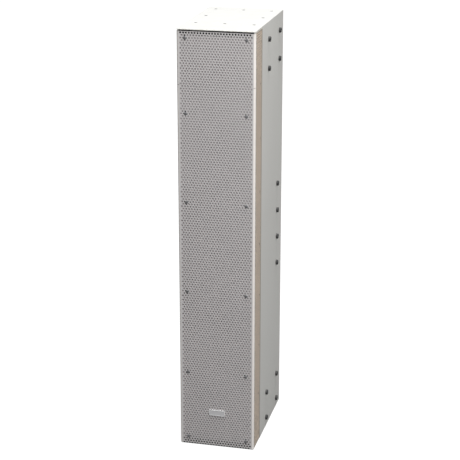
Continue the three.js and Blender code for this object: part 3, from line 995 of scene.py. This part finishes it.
# ---------------------------------------------------------------- lining and rails
class PA_OT_lining(Operator):
    """Build the foam lining behind the grille and the black strips that paint the shade in the gaps over and
    under it
    """

    bl_idname = "pa_column.lining"
    bl_label = "Foam Lining"

    def execute(self, context):
        low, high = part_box("grille_foam")
        sheet = FoldedSheet()
        thick, gap = 5 * MM, 0.2 * MM
        front = sheet.front_y + settings("pa_grille").sheet + gap
        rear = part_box("side_panel_right")[0].y - 0.3 * MM
        side = HIGH.x - settings("pa_grille").sheet - gap
        lining = block("foam_lining", (-side, front, low.z), (side, rear, high.z))
        upright = runs_along("z")
        rounded(lining, sheet.bend - 0.6 * MM,
                lambda edge: upright(edge) and edge.verts[0].co.y < front + MM, 4)
        inside = side - thick
        hollow = block("hollow", (-inside, front + thick, low.z - MM), (inside, rear + MM, high.z + MM))
        combined(lining, hollow)
        for x, z in grille_screws():
            combined(lining, rod("boss hole", "y", 5 * MM, (front - MM, front + thick + MM), (x, z)))
        softened(lining, 0.4 * MM)
        finished(smoothed(lining), foam_finish(), replaces=["grille_foam"])
        self.flange_liners(rear, (low.z, high.z), side)
        self.gap_shade_strips()
        return {"FINISHED"}

    def flange_liners(self, front, heights, side):
        """Thin foam between the cabinet's tongue and the grille's sides."""
        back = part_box("grille")[1].y - MM
        liner = block("flange_liner_right", (tongue_face() + 0.1 * MM, front + 0.2 * MM, heights[0]),
                      (side, back, heights[1]))
        softened(liner, 0.2 * MM)
        smoothed(liner)
        for piece in (liner, mirrored(copied(liner, "flange_liner_left"))):
            finished(piece, foam_finish())

    def gap_shade_strips(self):
        """Black strips across the cabinet's nose that paint the shade seen through the gaps over and under
        the grille.
        """
        width = tongue_face() - 2 * MM
        under_rim = HIGH.z - settings("pa_cabinet").rim - 0.05 * MM
        spans = {"upper_gap_shade": (HIGH.z - BOARD, under_rim), "lower_gap_shade": (0.3 * MM, BOARD)}
        for name, (bottom, top) in spans.items():
            # Each strip paints the gap's shade in near-black.
            shade_strip = block(name, (-width, NOSE - 0.7 * MM, bottom), (width, NOSE - 0.02 * MM, top))
            softened(shade_strip, 0.15 * MM)
            finished(smoothed(shade_strip), gap_shade_finish())


def tongue_face():
    """Half the width of the cabinet's tongues, inside the grille's sides."""
    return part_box("side_panel_right")[1].x - 2.1 * MM


def mirrored(piece):
    """Turns a piece's mesh over from right to left."""
    piece.data.transform(Matrix.Scale(-1, 4, (1, 0, 0)))
    return turned_outwards(piece)


def grille_screws():
    """Places of the grille's twelve screws, two in each of six rows."""
    low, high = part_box("grille_rail_right")
    middle = (low.x + high.x) / 2
    heights = [HIGH.z - drop * MM for drop in (18, 170, 355, 548, 729, 878)]
    return [(way * middle, z) for z in heights for way in (-1, 1)]


class PA_OT_rails(Operator):
    """Build the two steel rails behind the grille, with legs to the baffle and a boss at each screw"""

    bl_idname = "pa_column.rails"
    bl_label = "Grille Rails"

    def execute(self, context):
        paint = black_paint("rail paint")
        wall, half_leg = 1.5 * MM, 4 * MM
        for name, way in (("left", -1), ("right", 1)):
            low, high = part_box(f"grille_rail_{name}")
            front = low.y + 8.1 * MM
            strip = block(f"rail_{name}", (low.x, front, low.z), (high.x, front + 5.7 * MM, high.z))
            combined(strip, block("hollow", (low.x + wall, front + wall, low.z - MM),
                                  (high.x - wall, front + 8 * MM, high.z + MM)))
            for z in self.leg_heights(low, high):
                leg = block("leg", (low.x, front + 0.5 * MM, z - half_leg), (high.x, high.y, z + half_leg))
                combined(strip, leg, "UNION")
            for x, z in grille_screws():
                if x * way > 0:
                    boss = rod("boss", "y", 4.4 * MM, (low.y + 2.6 * MM, front + 2 * MM), (x, z), 24)
                    combined(strip, boss, "UNION")
            softened(strip, 0.3 * MM)
            finished(smoothed(strip), paint, replaces=[f"grille_rail_{name}"])
        return {"FINISHED"}

    def leg_heights(self, low, high):
        """A leg near each end of a rail and one between each two woofers."""
        between = [(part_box(f"woofer_basket_{i}")[0].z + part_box(f"woofer_basket_{i + 1}")[1].z) / 2
                   for i in range(1, WOOFERS)]
        inset = 7.7 * MM
        return [low.z + inset, *between, high.z - inset]


# ---------------------------------------------------------------- screws and badge
BOLT_LENGTH = 13 * MM  # from the cabinet's face to the bolt's inner end


def cross_head(name, radius, height, centre, axis="y"):
    """A domed screw head facing -Y, or +X, with a cross-shaped recess."""
    profile = [(0, -height), (0.45 * radius, -0.97 * height), (0.78 * radius, -0.78 * height),
               (0.95 * radius, -0.42 * height), (radius, 0), (0.6 * radius, 0.4 * height), (0, 0.4 * height)]
    if axis == "x":
        profile = [(reach, -place) for reach, place in profile]
    head = turned(name, profile, centre, 20, axis)
    narrow, long = 0.11 * radius, 0.55 * radius
    out = Vector((0, -1, 0)) if axis == "y" else Vector((1, 0, 0))
    middle = Vector(centre) + out * height * 1.45  # leaves a slot 0.55 of the head deep
    for across, up in ((long, narrow), (narrow, long)):
        half = Vector((across, height, up)) if axis == "y" else Vector((height, across, up))
        combined(head, block("slot", middle - half, middle + half))
    return smoothed(head)


class PA_OT_screws(Operator):
    """Fit the grille's screws and the rigging bolts"""

    bl_idname = "pa_column.screws"
    bl_label = "Screws"

    def execute(self, context):
        self.grille_screws(bright_steel())
        self.flange_screws(dark_steel())
        self.bolts(bolt_steel())
        return {"FINISHED"}

    def grille_screws(self, steel):
        own = settings("pa_fixings")
        front = FoldedSheet().front_y
        first = cross_head("grille_screw", own.grille_head, 0.95 * MM, (0, front, 0))
        heads = [copied(first, "head", (x, 0, z)) for x, z in grille_screws()]
        bpy.data.objects.remove(first)
        finished(joined("grille_screws", heads), steel)

    def flange_screws(self, steel):
        own = settings("pa_fixings")
        bay, bays = settings("pa_grille").bay, 8
        centre = (HIGH.x, LOW.y + 48 * MM, 0)
        first = cross_head("flange_screw", own.flange_head, 0.5 * MM, centre, "x")
        heads = []
        for screw in (first, mirrored(copied(first, "flange_screw_left"))):
            heads += [copied(screw, "head", (0, 0, HIGH.z - bay * k)) for k in range(1, bays)]
            bpy.data.objects.remove(screw)
        finished(joined("flange_screws", heads), steel)

    def bolts(self, steel):
        """Socket-head bolts in the sides, and headless ones in the top and under the cabinet."""
        headed, headless = self.headed_bolt(), self.headless_bolt()
        sets = {
            ("z", 1): ("top_bolts", headless, Matrix.Identity(4)),
            ("z", -1): ("underside_bolts", headless, Matrix.Rotation(math.pi, 4, "X")),
            ("x", 1): ("right_bolts", headed, Matrix.Rotation(math.pi / 2, 4, "Y")),
            ("x", -1): ("left_bolts", headed, Matrix.Rotation(-math.pi / 2, 4, "Y")),
        }
        for key, (name, model, turn) in sets.items():
            pieces = []
            for axis, way, face, place in bolt_places():
                if (axis, way) == key:
                    piece = copied(model, "bolt")
                    piece.data.transform(Matrix.Translation(PLACES[axis](face, *place)) @ turn)
                    pieces.append(piece)
            finished(joined(name, pieces), steel)
        for model in (headed, headless):
            bpy.data.objects.remove(model)

    def headed_bolt(self):
        """A socket-head bolt that faces up, with the underside of its head just over the origin."""
        own = settings("pa_fixings")
        radius, shank = own.bolt_head, own.bolt_shank
        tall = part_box("top_rigging_channel")[1].x - HIGH.x
        bolt = turned("bolt", [
            (0, -BOLT_LENGTH), (shank, -BOLT_LENGTH), (shank, 0.05 * MM), (radius - 0.2 * MM, 0.05 * MM),
            (radius, 0.25 * MM), (radius, tall - 0.9 * MM), (radius - 0.25 * MM, tall - 0.35 * MM),
            (radius - 0.8 * MM, tall), (0, tall)], (0, 0, 0), 30, "z")
        combined(bolt, rod("hexagon", "z", own.bolt_socket, (tall - 2.6 * MM, tall + MM), (0, 0), 6))
        return smoothed(bolt)

    def headless_bolt(self):
        """A bolt whose socketed end lies just under the origin."""
        own = settings("pa_fixings")
        end, shank, chamfer = -own.recess, own.bolt_shank, 0.2 * MM
        bolt = turned("bolt", [
            (0, -BOLT_LENGTH), (shank, -BOLT_LENGTH), (shank, end - chamfer), (shank - chamfer, end),
            (0, end)], (0, 0, 0), 24, "z")
        combined(bolt, rod("hexagon", "z", 1.7 * MM, (end - 2 * MM, end + MM), (0, 0), 6))
        return smoothed(bolt)


CHANNEL_SHEET, RAIL_SHEET = 3 * MM, 4 * MM
NUT_RADIUS = 5.8 * MM


class PA_OT_brackets(Operator):
    """Build the steel channels and rails inside the cabinet that its bolts screw into"""

    bl_idname = "pa_column.brackets"
    bl_label = "Rigging Brackets"

    def execute(self, context):
        steel = zinc_steel()
        self.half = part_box("back_panel")[1].x - 0.3 * MM
        self.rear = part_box("back_panel")[0].y - 1.3 * MM
        for node, face, way, heights in (
            ("top_rigging_channel", HIGH.z, 1, UPPER_ROWS),
            ("bottom_rigging_channel", LOW.z, -1, LOWER_ROWS),
        ):
            channel = self.channel(node, face - way * (BOARD + 0.6 * MM), way, heights)
            finished(channel, steel, replaces=[node])
        for name, way in (("left", -1), ("right", 1)):
            edges = sorted((way * (self.half - RAIL_SHEET), way * self.half))
            half_width, past_bolts = 15 * MM, 20 * MM
            rail = block(f"side_rail_{name}",
                         (edges[0], MIDDLE_COLUMN - half_width, MIDDLE_ROWS[-1] - past_bolts),
                         (edges[1], MIDDLE_COLUMN + half_width, MIDDLE_ROWS[0] + past_bolts))
            self.nuts(rail, way, middle_bolts())
            softened(rail, 0.4 * MM)
            finished(smoothed(rail), steel, replaces=[f"middle_rail_{name}"])
        return {"FINISHED"}

    def channel(self, node, skin, way, heights):
        """A folded channel whose web lies against the board, with a nut behind each bolt."""
        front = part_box("baffle")[0].y + 3 * MM
        walls_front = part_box("baffle")[1].y + 0.3 * MM
        drop = 100 * MM
        web = sorted((skin, skin - way * CHANNEL_SHEET))
        reach = sorted((skin, skin - way * drop))
        channel = block(node.replace("_rigging", "_steel"), (-self.half, front, web[0]),
                        (self.half, self.rear, web[1]))
        for hand in (-1, 1):
            edges = sorted((hand * (self.half - CHANNEL_SHEET), hand * self.half))
            wall = block("wall", (edges[0], walls_front, reach[0]), (edges[1], self.rear, reach[1]))
            combined(channel, wall, "UNION")
            self.nuts(channel, hand, side_bolts(heights))
        for place in cap_bolts():
            ends = sorted((skin - way * (CHANNEL_SHEET - MM), skin - way * (CHANNEL_SHEET + 4 * MM)))
            combined(channel, rod("nut", "z", NUT_RADIUS, ends, place, 6), "UNION")
        softened(channel, 0.4 * MM)
        return smoothed(channel)

    def nuts(self, steel, hand, places):
        """Welded nuts on the inner face of a wall or rail."""
        inner = self.half - RAIL_SHEET
        for place in places:
            ends = sorted((hand * (inner + 2 * MM), hand * (inner - 4 * MM)))
            combined(steel, rod("nut", "x", NUT_RADIUS, ends, place, 6), "UNION")


class PA_OT_badge(Operator):
    """Build the blank badge plate with a raised border"""

    bl_idname = "pa_column.badge"
    bl_label = "Badge"

    def execute(self, context):
        low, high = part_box("badge")
        plate = block("badge_plate", (low.x, low.y, low.z), (high.x, high.y + 0.28 * MM, high.z))
        rounded(plate, 1.2 * MM, runs_along("y"), 4)
        rounded(plate, 0.25 * MM, lambda edge: all(v.co.y < low.y + CLOSE for v in edge.verts), 2)
        border, deep = 1.4 * MM, 0.35 * MM
        field = block("field", (low.x + border, low.y - MM, low.z + border),
                      (high.x - border, low.y + deep, high.z - border))
        rounded(field, 0.6 * MM, runs_along("y"), 3)
        combined(plate, field)
        finished(smoothed(plate), badge_finish(), replaces=["badge"])
        inset = border + 0.1 * MM
        inlay = block("badge_inlay", (low.x + inset, low.y + 0.2 * MM, low.z + inset),
                      (high.x - inset, low.y + 0.34 * MM, high.z - inset))
        rounded(inlay, 0.5 * MM, runs_along("y"), 3)
        finished(smoothed(inlay), badge_enamel())
        return {"FINISHED"}


# ---------------------------------------------------------------- connectors
SOCKETS = ("input_socket", "link_socket")
FACING_BACK = Matrix.Rotation(math.pi, 4, "Z")
DIAGONALS = range(45, 360, 90)  # in degrees


def middle_of(node):
    """The middle of a node's box."""
    low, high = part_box(node)
    return (low + high) / 2


def four_corners(x, z, reach):
    return [(x + across * reach, z + up * reach) for across in (-1, 1) for up in (-1, 1)]


def round_the_middle(x, z, radius, degrees):
    """Places on a circle, at the given angles."""
    turns = [math.radians(angle) for angle in degrees]
    return [(x + radius * math.cos(turn), z + radius * math.sin(turn)) for turn in turns]


class PA_OT_connectors(Operator):
    """Build the connector plate in the back with its sockets, terminals and gasket"""

    bl_idname = "pa_column.connectors"
    bl_label = "Connectors"

    def execute(self, context):
        self.plate()
        self.gasket()
        plastic = black_plastic()
        brass = contact_brass()
        for name in SOCKETS:
            self.socket(name, plastic, brass)
        self.terminals(plastic, brass)
        return {"FINISHED"}

    def plate(self):
        """The steel plate with its holes, grooves and six screws."""
        low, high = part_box("connector_plate")
        depth = (low.y - MM, high.y + MM)
        plate = block("rear_plate", low, high)
        rounded(plate, PLATE_CORNER, runs_along("y"), 6)
        for name in SOCKETS:
            spot = middle_of(name)
            combined(plate, rod("hole", "y", 12.7 * MM, depth, (spot.x, spot.z), 40))
        left, right = (corner.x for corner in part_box("terminal_block"))
        slot_z, margin, half_slot = middle_of("terminal_block").z, 4 * MM, 5 * MM
        combined(plate, block("slot", (left + margin, depth[0], slot_z - half_slot),
                              (right - margin, depth[1], slot_z + half_slot)))
        for z in (low.z + 20 * MM, low.z + 58 * MM):
            combined(plate, self.groove(low, high, z))
        softened(plate, 0.25 * MM)
        finished(smoothed(plate), black_paint("plate powder coat"),
                 replaces=["connector_plate"])
        self.plate_screws(low, high)

    def groove(self, low, high, z):
        """A pressed groove across the plate, beside the terminals."""
        inset = 14 * MM
        return block("groove", (low.x + inset, high.y - 0.5 * MM, z),
                     (high.x - inset, high.y + MM, z + 1.2 * MM))

    def plate_screws(self, low, high):
        inset = 4 * MM
        first = cross_head("plate_screw", 2.6 * MM, 1.2 * MM, (0, 0, 0))
        first.data.transform(FACING_BACK)
        heights = (low.z + inset, (low.z + high.z) / 2, high.z - inset)
        columns = (low.x + inset, high.x - inset)
        heads = [copied(first, "head", (x, high.y, z)) for x in columns for z in heights]
        bpy.data.objects.remove(first)
        finished(joined("plate_screws", heads), dark_steel())

    def gasket(self):
        """The rubber ring between the plate and its seat."""
        low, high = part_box("connector_gasket")
        ring = block("plate_gasket", low, high)
        rounded(ring, PLATE_CORNER, runs_along("y"), 6)
        inner = block("inner", (low.x + PLATE_LEDGE, low.y - MM, low.z + PLATE_LEDGE),
                      (high.x - PLATE_LEDGE, high.y + MM, high.z - PLATE_LEDGE))
        rounded(inner, WINDOW_CORNER, runs_along("y"), 6)
        combined(ring, inner)
        softened(ring, 0.2 * MM)
        finished(smoothed(ring), rubber(), replaces=["connector_gasket"])

    def socket(self, name, plastic, brass):
        """A four-pole twist-lock socket: barrel, square flange, keyed mouth, spigot and contacts."""
        low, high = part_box(name)
        x, z = middle_of(name).xz
        face, floor = high.y, low.y + 6 * MM
        flange_back = face - 2 * MM
        corners = four_corners(x, z, 11.6 * MM)
        barrel = turned(f"{name}_body", [
            (0, low.y), (11 * MM, low.y), (12 * MM, low.y + MM), (12 * MM, flange_back + 0.5 * MM),
            (13.2 * MM, flange_back + 0.5 * MM), (13.2 * MM, face), (10.9 * MM, face),
            (10.5 * MM, face - 0.5 * MM), (10.5 * MM, floor), (0, floor)], (x, 0, z), 48)
        half = 14.2 * MM
        flange = block("flange", (x - half, flange_back, z - half), (x + half, face, z + half))
        rounded(flange, 3 * MM, runs_along("y"), 5)
        combined(flange, rod("bore", "y", 11.5 * MM, (flange_back - MM, face + MM), (x, z), 48))
        combined(barrel, flange, "UNION")
        for spot in round_the_middle(x, z, 10.6 * MM, (70, 250)):
            combined(barrel, rod("keyway", "y", 1.7 * MM, (floor + 4 * MM, face + MM), spot, 16))
        spigot = turned("spigot", [
            (0, floor - MM), (6 * MM, floor - MM), (6 * MM, face - 4.4 * MM), (5.4 * MM, face - 3.8 * MM),
            (3.2 * MM, face - 3.8 * MM), (3 * MM, face - 4.1 * MM), (3 * MM, floor + 3 * MM),
            (0, floor + 3 * MM)], (x, 0, z), 32)
        combined(barrel, spigot, "UNION")
        for corner in corners:
            combined(barrel, rod("countersink", "y", 1.2 * MM, (face - 1.2 * MM, face + 0.2 * MM), corner, 20,
                                 far_radius=2.1 * MM))
        finished(smoothed(barrel), plastic, replaces=[name])
        poles = round_the_middle(x, z, 7.2 * MM, DIAGONALS)
        metal = [self.contact(spot, floor, face) for spot in poles]
        for corner in corners:
            metal.append(rod("socket screw", "y", 1.1 * MM, (face - 1.1 * MM, face - 0.5 * MM), corner, 16,
                             far_radius=1.8 * MM))
        finished(joined(f"{name}_contacts", metal), brass)

    def contact(self, spot, floor, face):
        x, z = spot
        thin, wide = 0.5 * MM, 1.4 * MM
        tab = block("contact", (x - thin, floor - 0.1 * MM, z - wide), (x + thin, face - 7 * MM, z + wide))
        return softened(tab, 0.2 * MM)

    def terminals(self, plastic, brass):
        """Four screw terminals between five walls."""
        low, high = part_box("terminal_block")
        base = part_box("connector_plate")[1].y + 0.3 * MM
        middle_z, half_wall, half_tail = middle_of("terminal_block").z, 1.5 * MM, 4 * MM
        body = block("terminal_body", (low.x, base, low.z), (high.x, base + 1.6 * MM, high.z))
        pitch = (high.x - low.x - 2 * half_wall) / 4
        first_wall = low.x + half_wall
        for i in range(5):
            x = first_wall + i * pitch
            wall = block("wall", (x - half_wall, base + 0.5 * MM, low.z), (x + half_wall, high.y, high.z))
            combined(body, wall, "UNION")
        tail = block("tail", (low.x + 6 * MM, low.y, middle_z - half_tail),
                     (high.x - 6 * MM, base + MM, middle_z + half_tail))
        combined(body, tail, "UNION")
        softened(body, 0.3 * MM)
        finished(smoothed(body), plastic, replaces=["terminal_block"])
        clamps = []
        pad_back = base + 2.1 * MM
        for i in range(4):
            x = first_wall + (i + 0.5) * pitch
            pad = block("pad", (x - 4 * MM, base + 1.5 * MM, low.z + 2 * MM),
                        (x + 4 * MM, pad_back, high.z - 2 * MM))
            head = cross_head("clamp screw", 3.1 * MM, 1.1 * MM, (0, 0, 0))
            head.data.transform(Matrix.Translation((x, pad_back, middle_z)) @ FACING_BACK)
            clamps += [softened(pad, 0.2 * MM), head]
        finished(joined("terminal_clamps", clamps), brass)


# ---------------------------------------------------------------- loudspeakers
class PA_OT_drivers(Operator):
    """Build the woofers and the tweeter modules behind the grille"""

    bl_idname = "pa_column.drivers"
    bl_label = "Drivers"

    def execute(self, context):
        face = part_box("baffle")[0].y
        models = {
            "basket": (self.basket(face), black_paint("basket paint"), "black_steel"),
            "magnet": (self.magnet(face), ferrite(), "ferrite"),
            "cone": (self.cone(face), paper_pulp(), "cone_paper"),
        }
        plastic = black_plastic("tweeter moulding")
        module = self.tweeter_module()
        first_z = middle_of("woofer_cone_1").z
        for number in range(1, WOOFERS + 1):
            z = middle_of(f"woofer_cone_{number}").z
            for kind, (model, material, slot) in models.items():
                piece = copied(model, f"woofer_{number}_{kind}", (0, 0, z))
                body = f"cone_{number}" if kind == "cone" else BODY
                finished(piece, material, body, [f"woofer_{kind}_{number}"])
            tweeters = copied(module, f"tweeters_{number}", (0, 0, z - first_z))
            finished(tweeters, plastic, replaces=[f"tweeter_module_{number}"])
        for model in [model for model, _, _ in models.values()] + [module]:
            bpy.data.objects.remove(model)
        return {"FINISHED"}

    def round_piece(self, name, profile, face):
        """Spins a profile given in millimetres behind the baffle's face."""
        points = [(radius * MM, face + place * MM) for radius, place in profile]
        return turned(name, points, (0, 0, 0), 48)

    def basket(self, face):
        """The pressed frame, with four windows and four screw holes."""
        basket = self.round_piece("basket", [
            (14, 32.5), (29, 32.5), (31, 31), (44.2, 6), (45, 4), (45, -4.3), (51.4, -4.3), (52, -3.7),
            (52, -0.9), (51.4, -0.3), (47, -0.3), (47, 5.2), (46.4, 7), (33.5, 31.6), (31.8, 33.7),
            (14, 33.7), (14, 32.5)], face)
        for spot in round_the_middle(0, 0, 36.5 * MM, DIAGONALS):
            combined(basket, rod("window", "y", 8 * MM, (face + 8 * MM, face + 30 * MM), spot, 20))
        for spot in round_the_middle(0, 0, 49.3 * MM, DIAGONALS):
            combined(basket, rod("screw hole", "y", 1.6 * MM, (face - 6 * MM, face + MM), spot, 14))
        return smoothed(basket)

    def magnet(self, face):
        """The magnet between its plates, with the pole inside the voice coil."""
        return smoothed(self.round_piece("magnet", [
            (0, 34), (11, 34), (11, 46), (14, 46), (14, 34), (27.5, 34), (28, 34.4), (28, 38), (35, 38),
            (36, 39), (36, 50), (35, 51), (30, 51), (29.5, 55.6), (29, 56), (0, 56)], face))

    def cone(self, face):
        """Dust cap, cone, half-roll surround and voice coil former in one turned skin."""
        turns = [math.radians(22.5 * i) for i in range(9)]
        roll = [(39.8 + 3.6 * math.cos(turn), -1.5 - 3.7 * math.sin(turn)) for turn in reversed(turns)]
        back = [(39.8 + 2.9 * math.cos(turn), -1.1 - 3.0 * math.sin(turn)) for turn in turns]
        front = [(0, 9), (5, 9.5), (9.5, 11.2), (12.6, 13.6), (13.6, 14.4), (17, 11.8), (23, 7.2),
                 (29, 2.8), (35.4, -1.3)]
        behind = [(35.6, 0.0), (29.2, 4.2), (23.2, 8.6), (17.2, 13.2), (13.2, 17), (13.2, 38), (12.2, 38),
                  (12.2, 15.6), (9.2, 12.6), (5, 10.8), (0, 10.4)]
        profile = front + roll + [(44, -1.4), (44, -0.4)] + back + behind
        return smoothed(self.round_piece("cone", profile, face))

    def tweeter_module(self):
        """Three domes with shallow waveguides on one moulded plate."""
        low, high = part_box("tweeter_module_1")
        plate_front = low.y + 5.4 * MM
        plate = block("tweeter_module", (low.x, plate_front, low.z), (high.x, high.y, high.z))
        rounded(plate, 2 * MM, runs_along("y"), 3)
        pitch = (high.z - low.z + 2 * MM) / 3
        dome_profile = [
            (radius * MM, low.y + place * MM) for radius, place in
            ((0, 0), (2.6, 0.25), (5, 1.0), (7, 2.3), (8.4, 4.2), (9.2, 6.4))
        ] + [(9.2 * MM, plate_front + 3 * MM), (0, plate_front + 3 * MM)]
        for i in (-1, 0, 1):
            z = (low.z + high.z) / 2 + i * pitch
            depth = (plate_front - 0.2 * MM, plate_front + 2.4 * MM)
            combined(plate, rod("waveguide", "y", 14.4 * MM, depth, (0, z), 36, far_radius=9.6 * MM))
            combined(plate, turned("dome", dome_profile, (0, 0, z), 32), "UNION")
        softened(plate, 0.2 * MM, 2, math.radians(50))
        return smoothed(plate)


# ---------------------------------------------------------------- inside the cabinet
class PA_OT_inside(Operator):
    """Build the wadding and finish the boards, brackets and crossover inside the cabinet"""

    bl_idname = "pa_column.inside"
    bl_label = "Inside"

    def execute(self, context):
        self.wadding()
        finishes = {
            "baffle": black_paint("baffle paint"),
            "lower_brace": birch(),
            "upper_brace": birch(),
            "tweeter_bar": anodised(),
            "crossover_board": circuit_board(),
            "crossover_coil": copper_winding(),
            "crossover_capacitor": black_plastic("capacitor sleeve"),
        }
        finishes.update(self.unseen())
        for name, material in finishes.items():
            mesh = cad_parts[name].data
            mesh.materials.clear()
            mesh.materials.append(material)
        return {"FINISHED"}

    def unseen(self):
        """Materials for the nodes that other pieces stand for."""
        white, steel = grille_paint(), zinc_steel()
        hidden = [node.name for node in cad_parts.values() if node.hide_render]
        return {name: white if "panel" in name or name == "grille" else steel for name in hidden}

    def wadding(self):
        """A block of wadding whose front swells between its compressed edges, uneven by low waves."""
        low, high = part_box("damping_pad")
        pad = block("wadding_pad", low, high)
        editing(pad, "FACE", lambda face: True)
        bpy.ops.mesh.subdivide(number_cuts=9)
        bpy.ops.object.mode_set(mode="OBJECT")
        middle, half = (low + high) / 2, (high - low) / 2
        for vertex in pad.data.vertices:
            u, v, w = ((vertex.co[i] - middle[i]) / half[i] for i in range(3))
            crown = (1 - u ** 4) * (1 - w ** 4)
            lumps = 0.10 * math.sin(5.1 * u + 2.3 * w) * math.cos(7.3 * w - 1.7 * u)
            if v < 0:
                vertex.co.y = middle.y + v * half.y * (0.55 + 0.36 * crown + lumps * crown)
            pull = 0.03 * (1 - v * v) * math.cos(9 * w) + 0.02
            vertex.co.x = middle.x + u * half.x * (1 - pull * abs(u) ** 3)
        applied(pad, "SUBSURF", levels=2, render_levels=2)
        smoothed(pad, math.pi)
        finished(pad, wadding_finish(), replaces=["damping_pad"])


# ---------------------------------------------------------------- stage
class PA_OT_stage(Operator):
    """Set the floor, the lights and the camera"""

    bl_idname = "pa_column.stage"
    bl_label = "Stage"

    def execute(self, context):
        self.floor()
        self.world(context)
        self.lights()
        self.camera(context)
        context.scene.view_settings.view_transform = "Standard"
        return {"FINISHED"}

    def floor(self):
        """A pale floor that the camera sees a little brighter than it lights the object."""
        nothing_selected()
        bpy.ops.mesh.primitive_plane_add(size=60, location=(0, 0, LOW.z))
        floor = settled("studio_floor")
        own = settings("pa_studio")
        material = bpy.data.materials.new("studio floor")
        material.use_nodes = True
        tree = material.node_tree
        matt = tree.nodes["Principled BSDF"]
        matt.inputs["Base Color"].default_value = (own.floor, own.floor, own.floor, 1)
        matt.inputs["Roughness"].default_value = 0.9
        matt.inputs["Specular IOR Level"].default_value = 0.1
        lift = tree.nodes.new("ShaderNodeEmission")
        seen = tree.nodes.new("ShaderNodeLightPath").outputs["Is Camera Ray"]
        linked(tree, product(tree, seen, own.floor_lift), lift.inputs["Strength"])
        both = tree.nodes.new("ShaderNodeAddShader")
        linked(tree, matt.outputs[0], both.inputs[0])
        linked(tree, lift.outputs[0], both.inputs[1])
        linked(tree, both.outputs[0], tree.nodes["Material Output"].inputs["Surface"])
        floor.data.materials.append(material)

    def world(self, context):
        """Even light from all round, with a white backdrop for the camera and, dimmer, for reflections."""
        world = bpy.data.worlds.new("studio")
        context.scene.world = world
        world.use_nodes = True
        tree = world.node_tree
        room = tree.nodes["Background"]
        room.inputs["Color"].default_value = (0.95, 0.975, 1.0, 1)
        room.inputs["Strength"].default_value = settings("pa_studio").room
        backdrop = tree.nodes.new("ShaderNodeBackground")
        backdrop.inputs["Color"].default_value = (1, 1, 1, 1)
        backdrop.inputs["Strength"].default_value = 1.0
        path = tree.nodes.new("ShaderNodeLightPath")
        mix = tree.nodes.new("ShaderNodeMixShader")
        gloss = product(tree, path.outputs["Is Glossy Ray"], 0.6)
        linked(tree, calculated(tree, "MAXIMUM", path.outputs["Is Camera Ray"], gloss), mix.inputs[0])
        linked(tree, room.outputs[0], mix.inputs[1])
        linked(tree, backdrop.outputs[0], mix.inputs[2])
        linked(tree, mix.outputs[0], tree.nodes["World Output"].inputs["Surface"])

    def lights(self):
        own = settings("pa_studio")
        key = self.lamp("key", "AREA", own.key_power, (1.0, 0.985, 0.955))
        key.data.shape = "RECTANGLE"
        key.data.size, key.data.size_y = 700 * MM, 700 * MM
        key.location = (1.33, -1.33, 1.75)
        aim = Vector((0, 0, 0.7))
        key.rotation_euler = (aim - key.location).to_track_quat("-Z", "Y").to_euler()
        overhead = self.lamp("overhead", "SUN", own.top_power, (1.0, 1.0, 1.0))
        overhead.data.angle = math.radians(20)
        overhead.rotation_euler = (math.radians(4), math.radians(3), 0)

    def lamp(self, name, kind, power, colour):
        lamp = bpy.data.lights.new(name, kind)
        lamp.energy = power
        lamp.color = colour
        thing = bpy.data.objects.new(name, lamp)
        bpy.context.collection.objects.link(thing)
        return thing

    def camera(self, context):
        own = settings("pa_studio")
        back = Vector((math.sin(own.azimuth) * math.cos(own.elevation),
                       -math.cos(own.azimuth) * math.cos(own.elevation), math.sin(own.elevation)))
        right = Vector((math.cos(own.azimuth), math.sin(own.azimuth), 0))
        aim = right * -3.46 * MM + Vector((0, 0, 444.0 * MM))
        data = bpy.data.cameras.new("camera")
        data.lens = own.lens
        data.sensor_width = 36
        camera = bpy.data.objects.new("camera", data)
        context.collection.objects.link(camera)
        camera.location = aim + back * own.distance
        camera.rotation_euler = (-back).to_track_quat("-Z", "Y").to_euler()
        context.scene.camera = camera


# ---------------------------------------------------------------- add-on
SETTINGS = {"pa_cabinet": CabinetSettings, "pa_grille": GrilleSettings, "pa_fixings": FixingSettings,
            "pa_studio": StudioSettings}
STEPS = (PA_OT_cabinet, PA_OT_grille, PA_OT_lining, PA_OT_rails, PA_OT_brackets, PA_OT_screws, PA_OT_badge,
         PA_OT_connectors, PA_OT_drivers, PA_OT_inside, PA_OT_stage)


class PA_PT_panel(Panel):
    """Lists the steps that build the loudspeaker"""

    bl_idname = "PA_PT_panel"
    bl_label = "Column PA"
    bl_space_type = "VIEW_3D"
    bl_region_type = "UI"
    bl_category = "Column PA"

    def draw(self, context):
        for step in STEPS:
            self.layout.operator(step.bl_idname)
        for name, group in SETTINGS.items():
            column = self.layout.box().column()
            for key in group.__annotations__:
                column.prop(getattr(context.scene, name), key)


def register():
    for group in (*SETTINGS.values(), *STEPS, PA_PT_panel):
        bpy.utils.register_class(group)
    for name, group in SETTINGS.items():
        setattr(bpy.types.Scene, name, PointerProperty(type=group))


def unregister():
    for name in SETTINGS:
        delattr(bpy.types.Scene, name)
    for group in reversed((*SETTINGS.values(), *STEPS, PA_PT_panel)):
        bpy.utils.unregister_class(group)


def main():
    register()
    for step in STEPS:
        family, operator = step.bl_idname.split(".")
        getattr(getattr(bpy.ops, family), operator)()


if __name__ == "__main__":
    main()
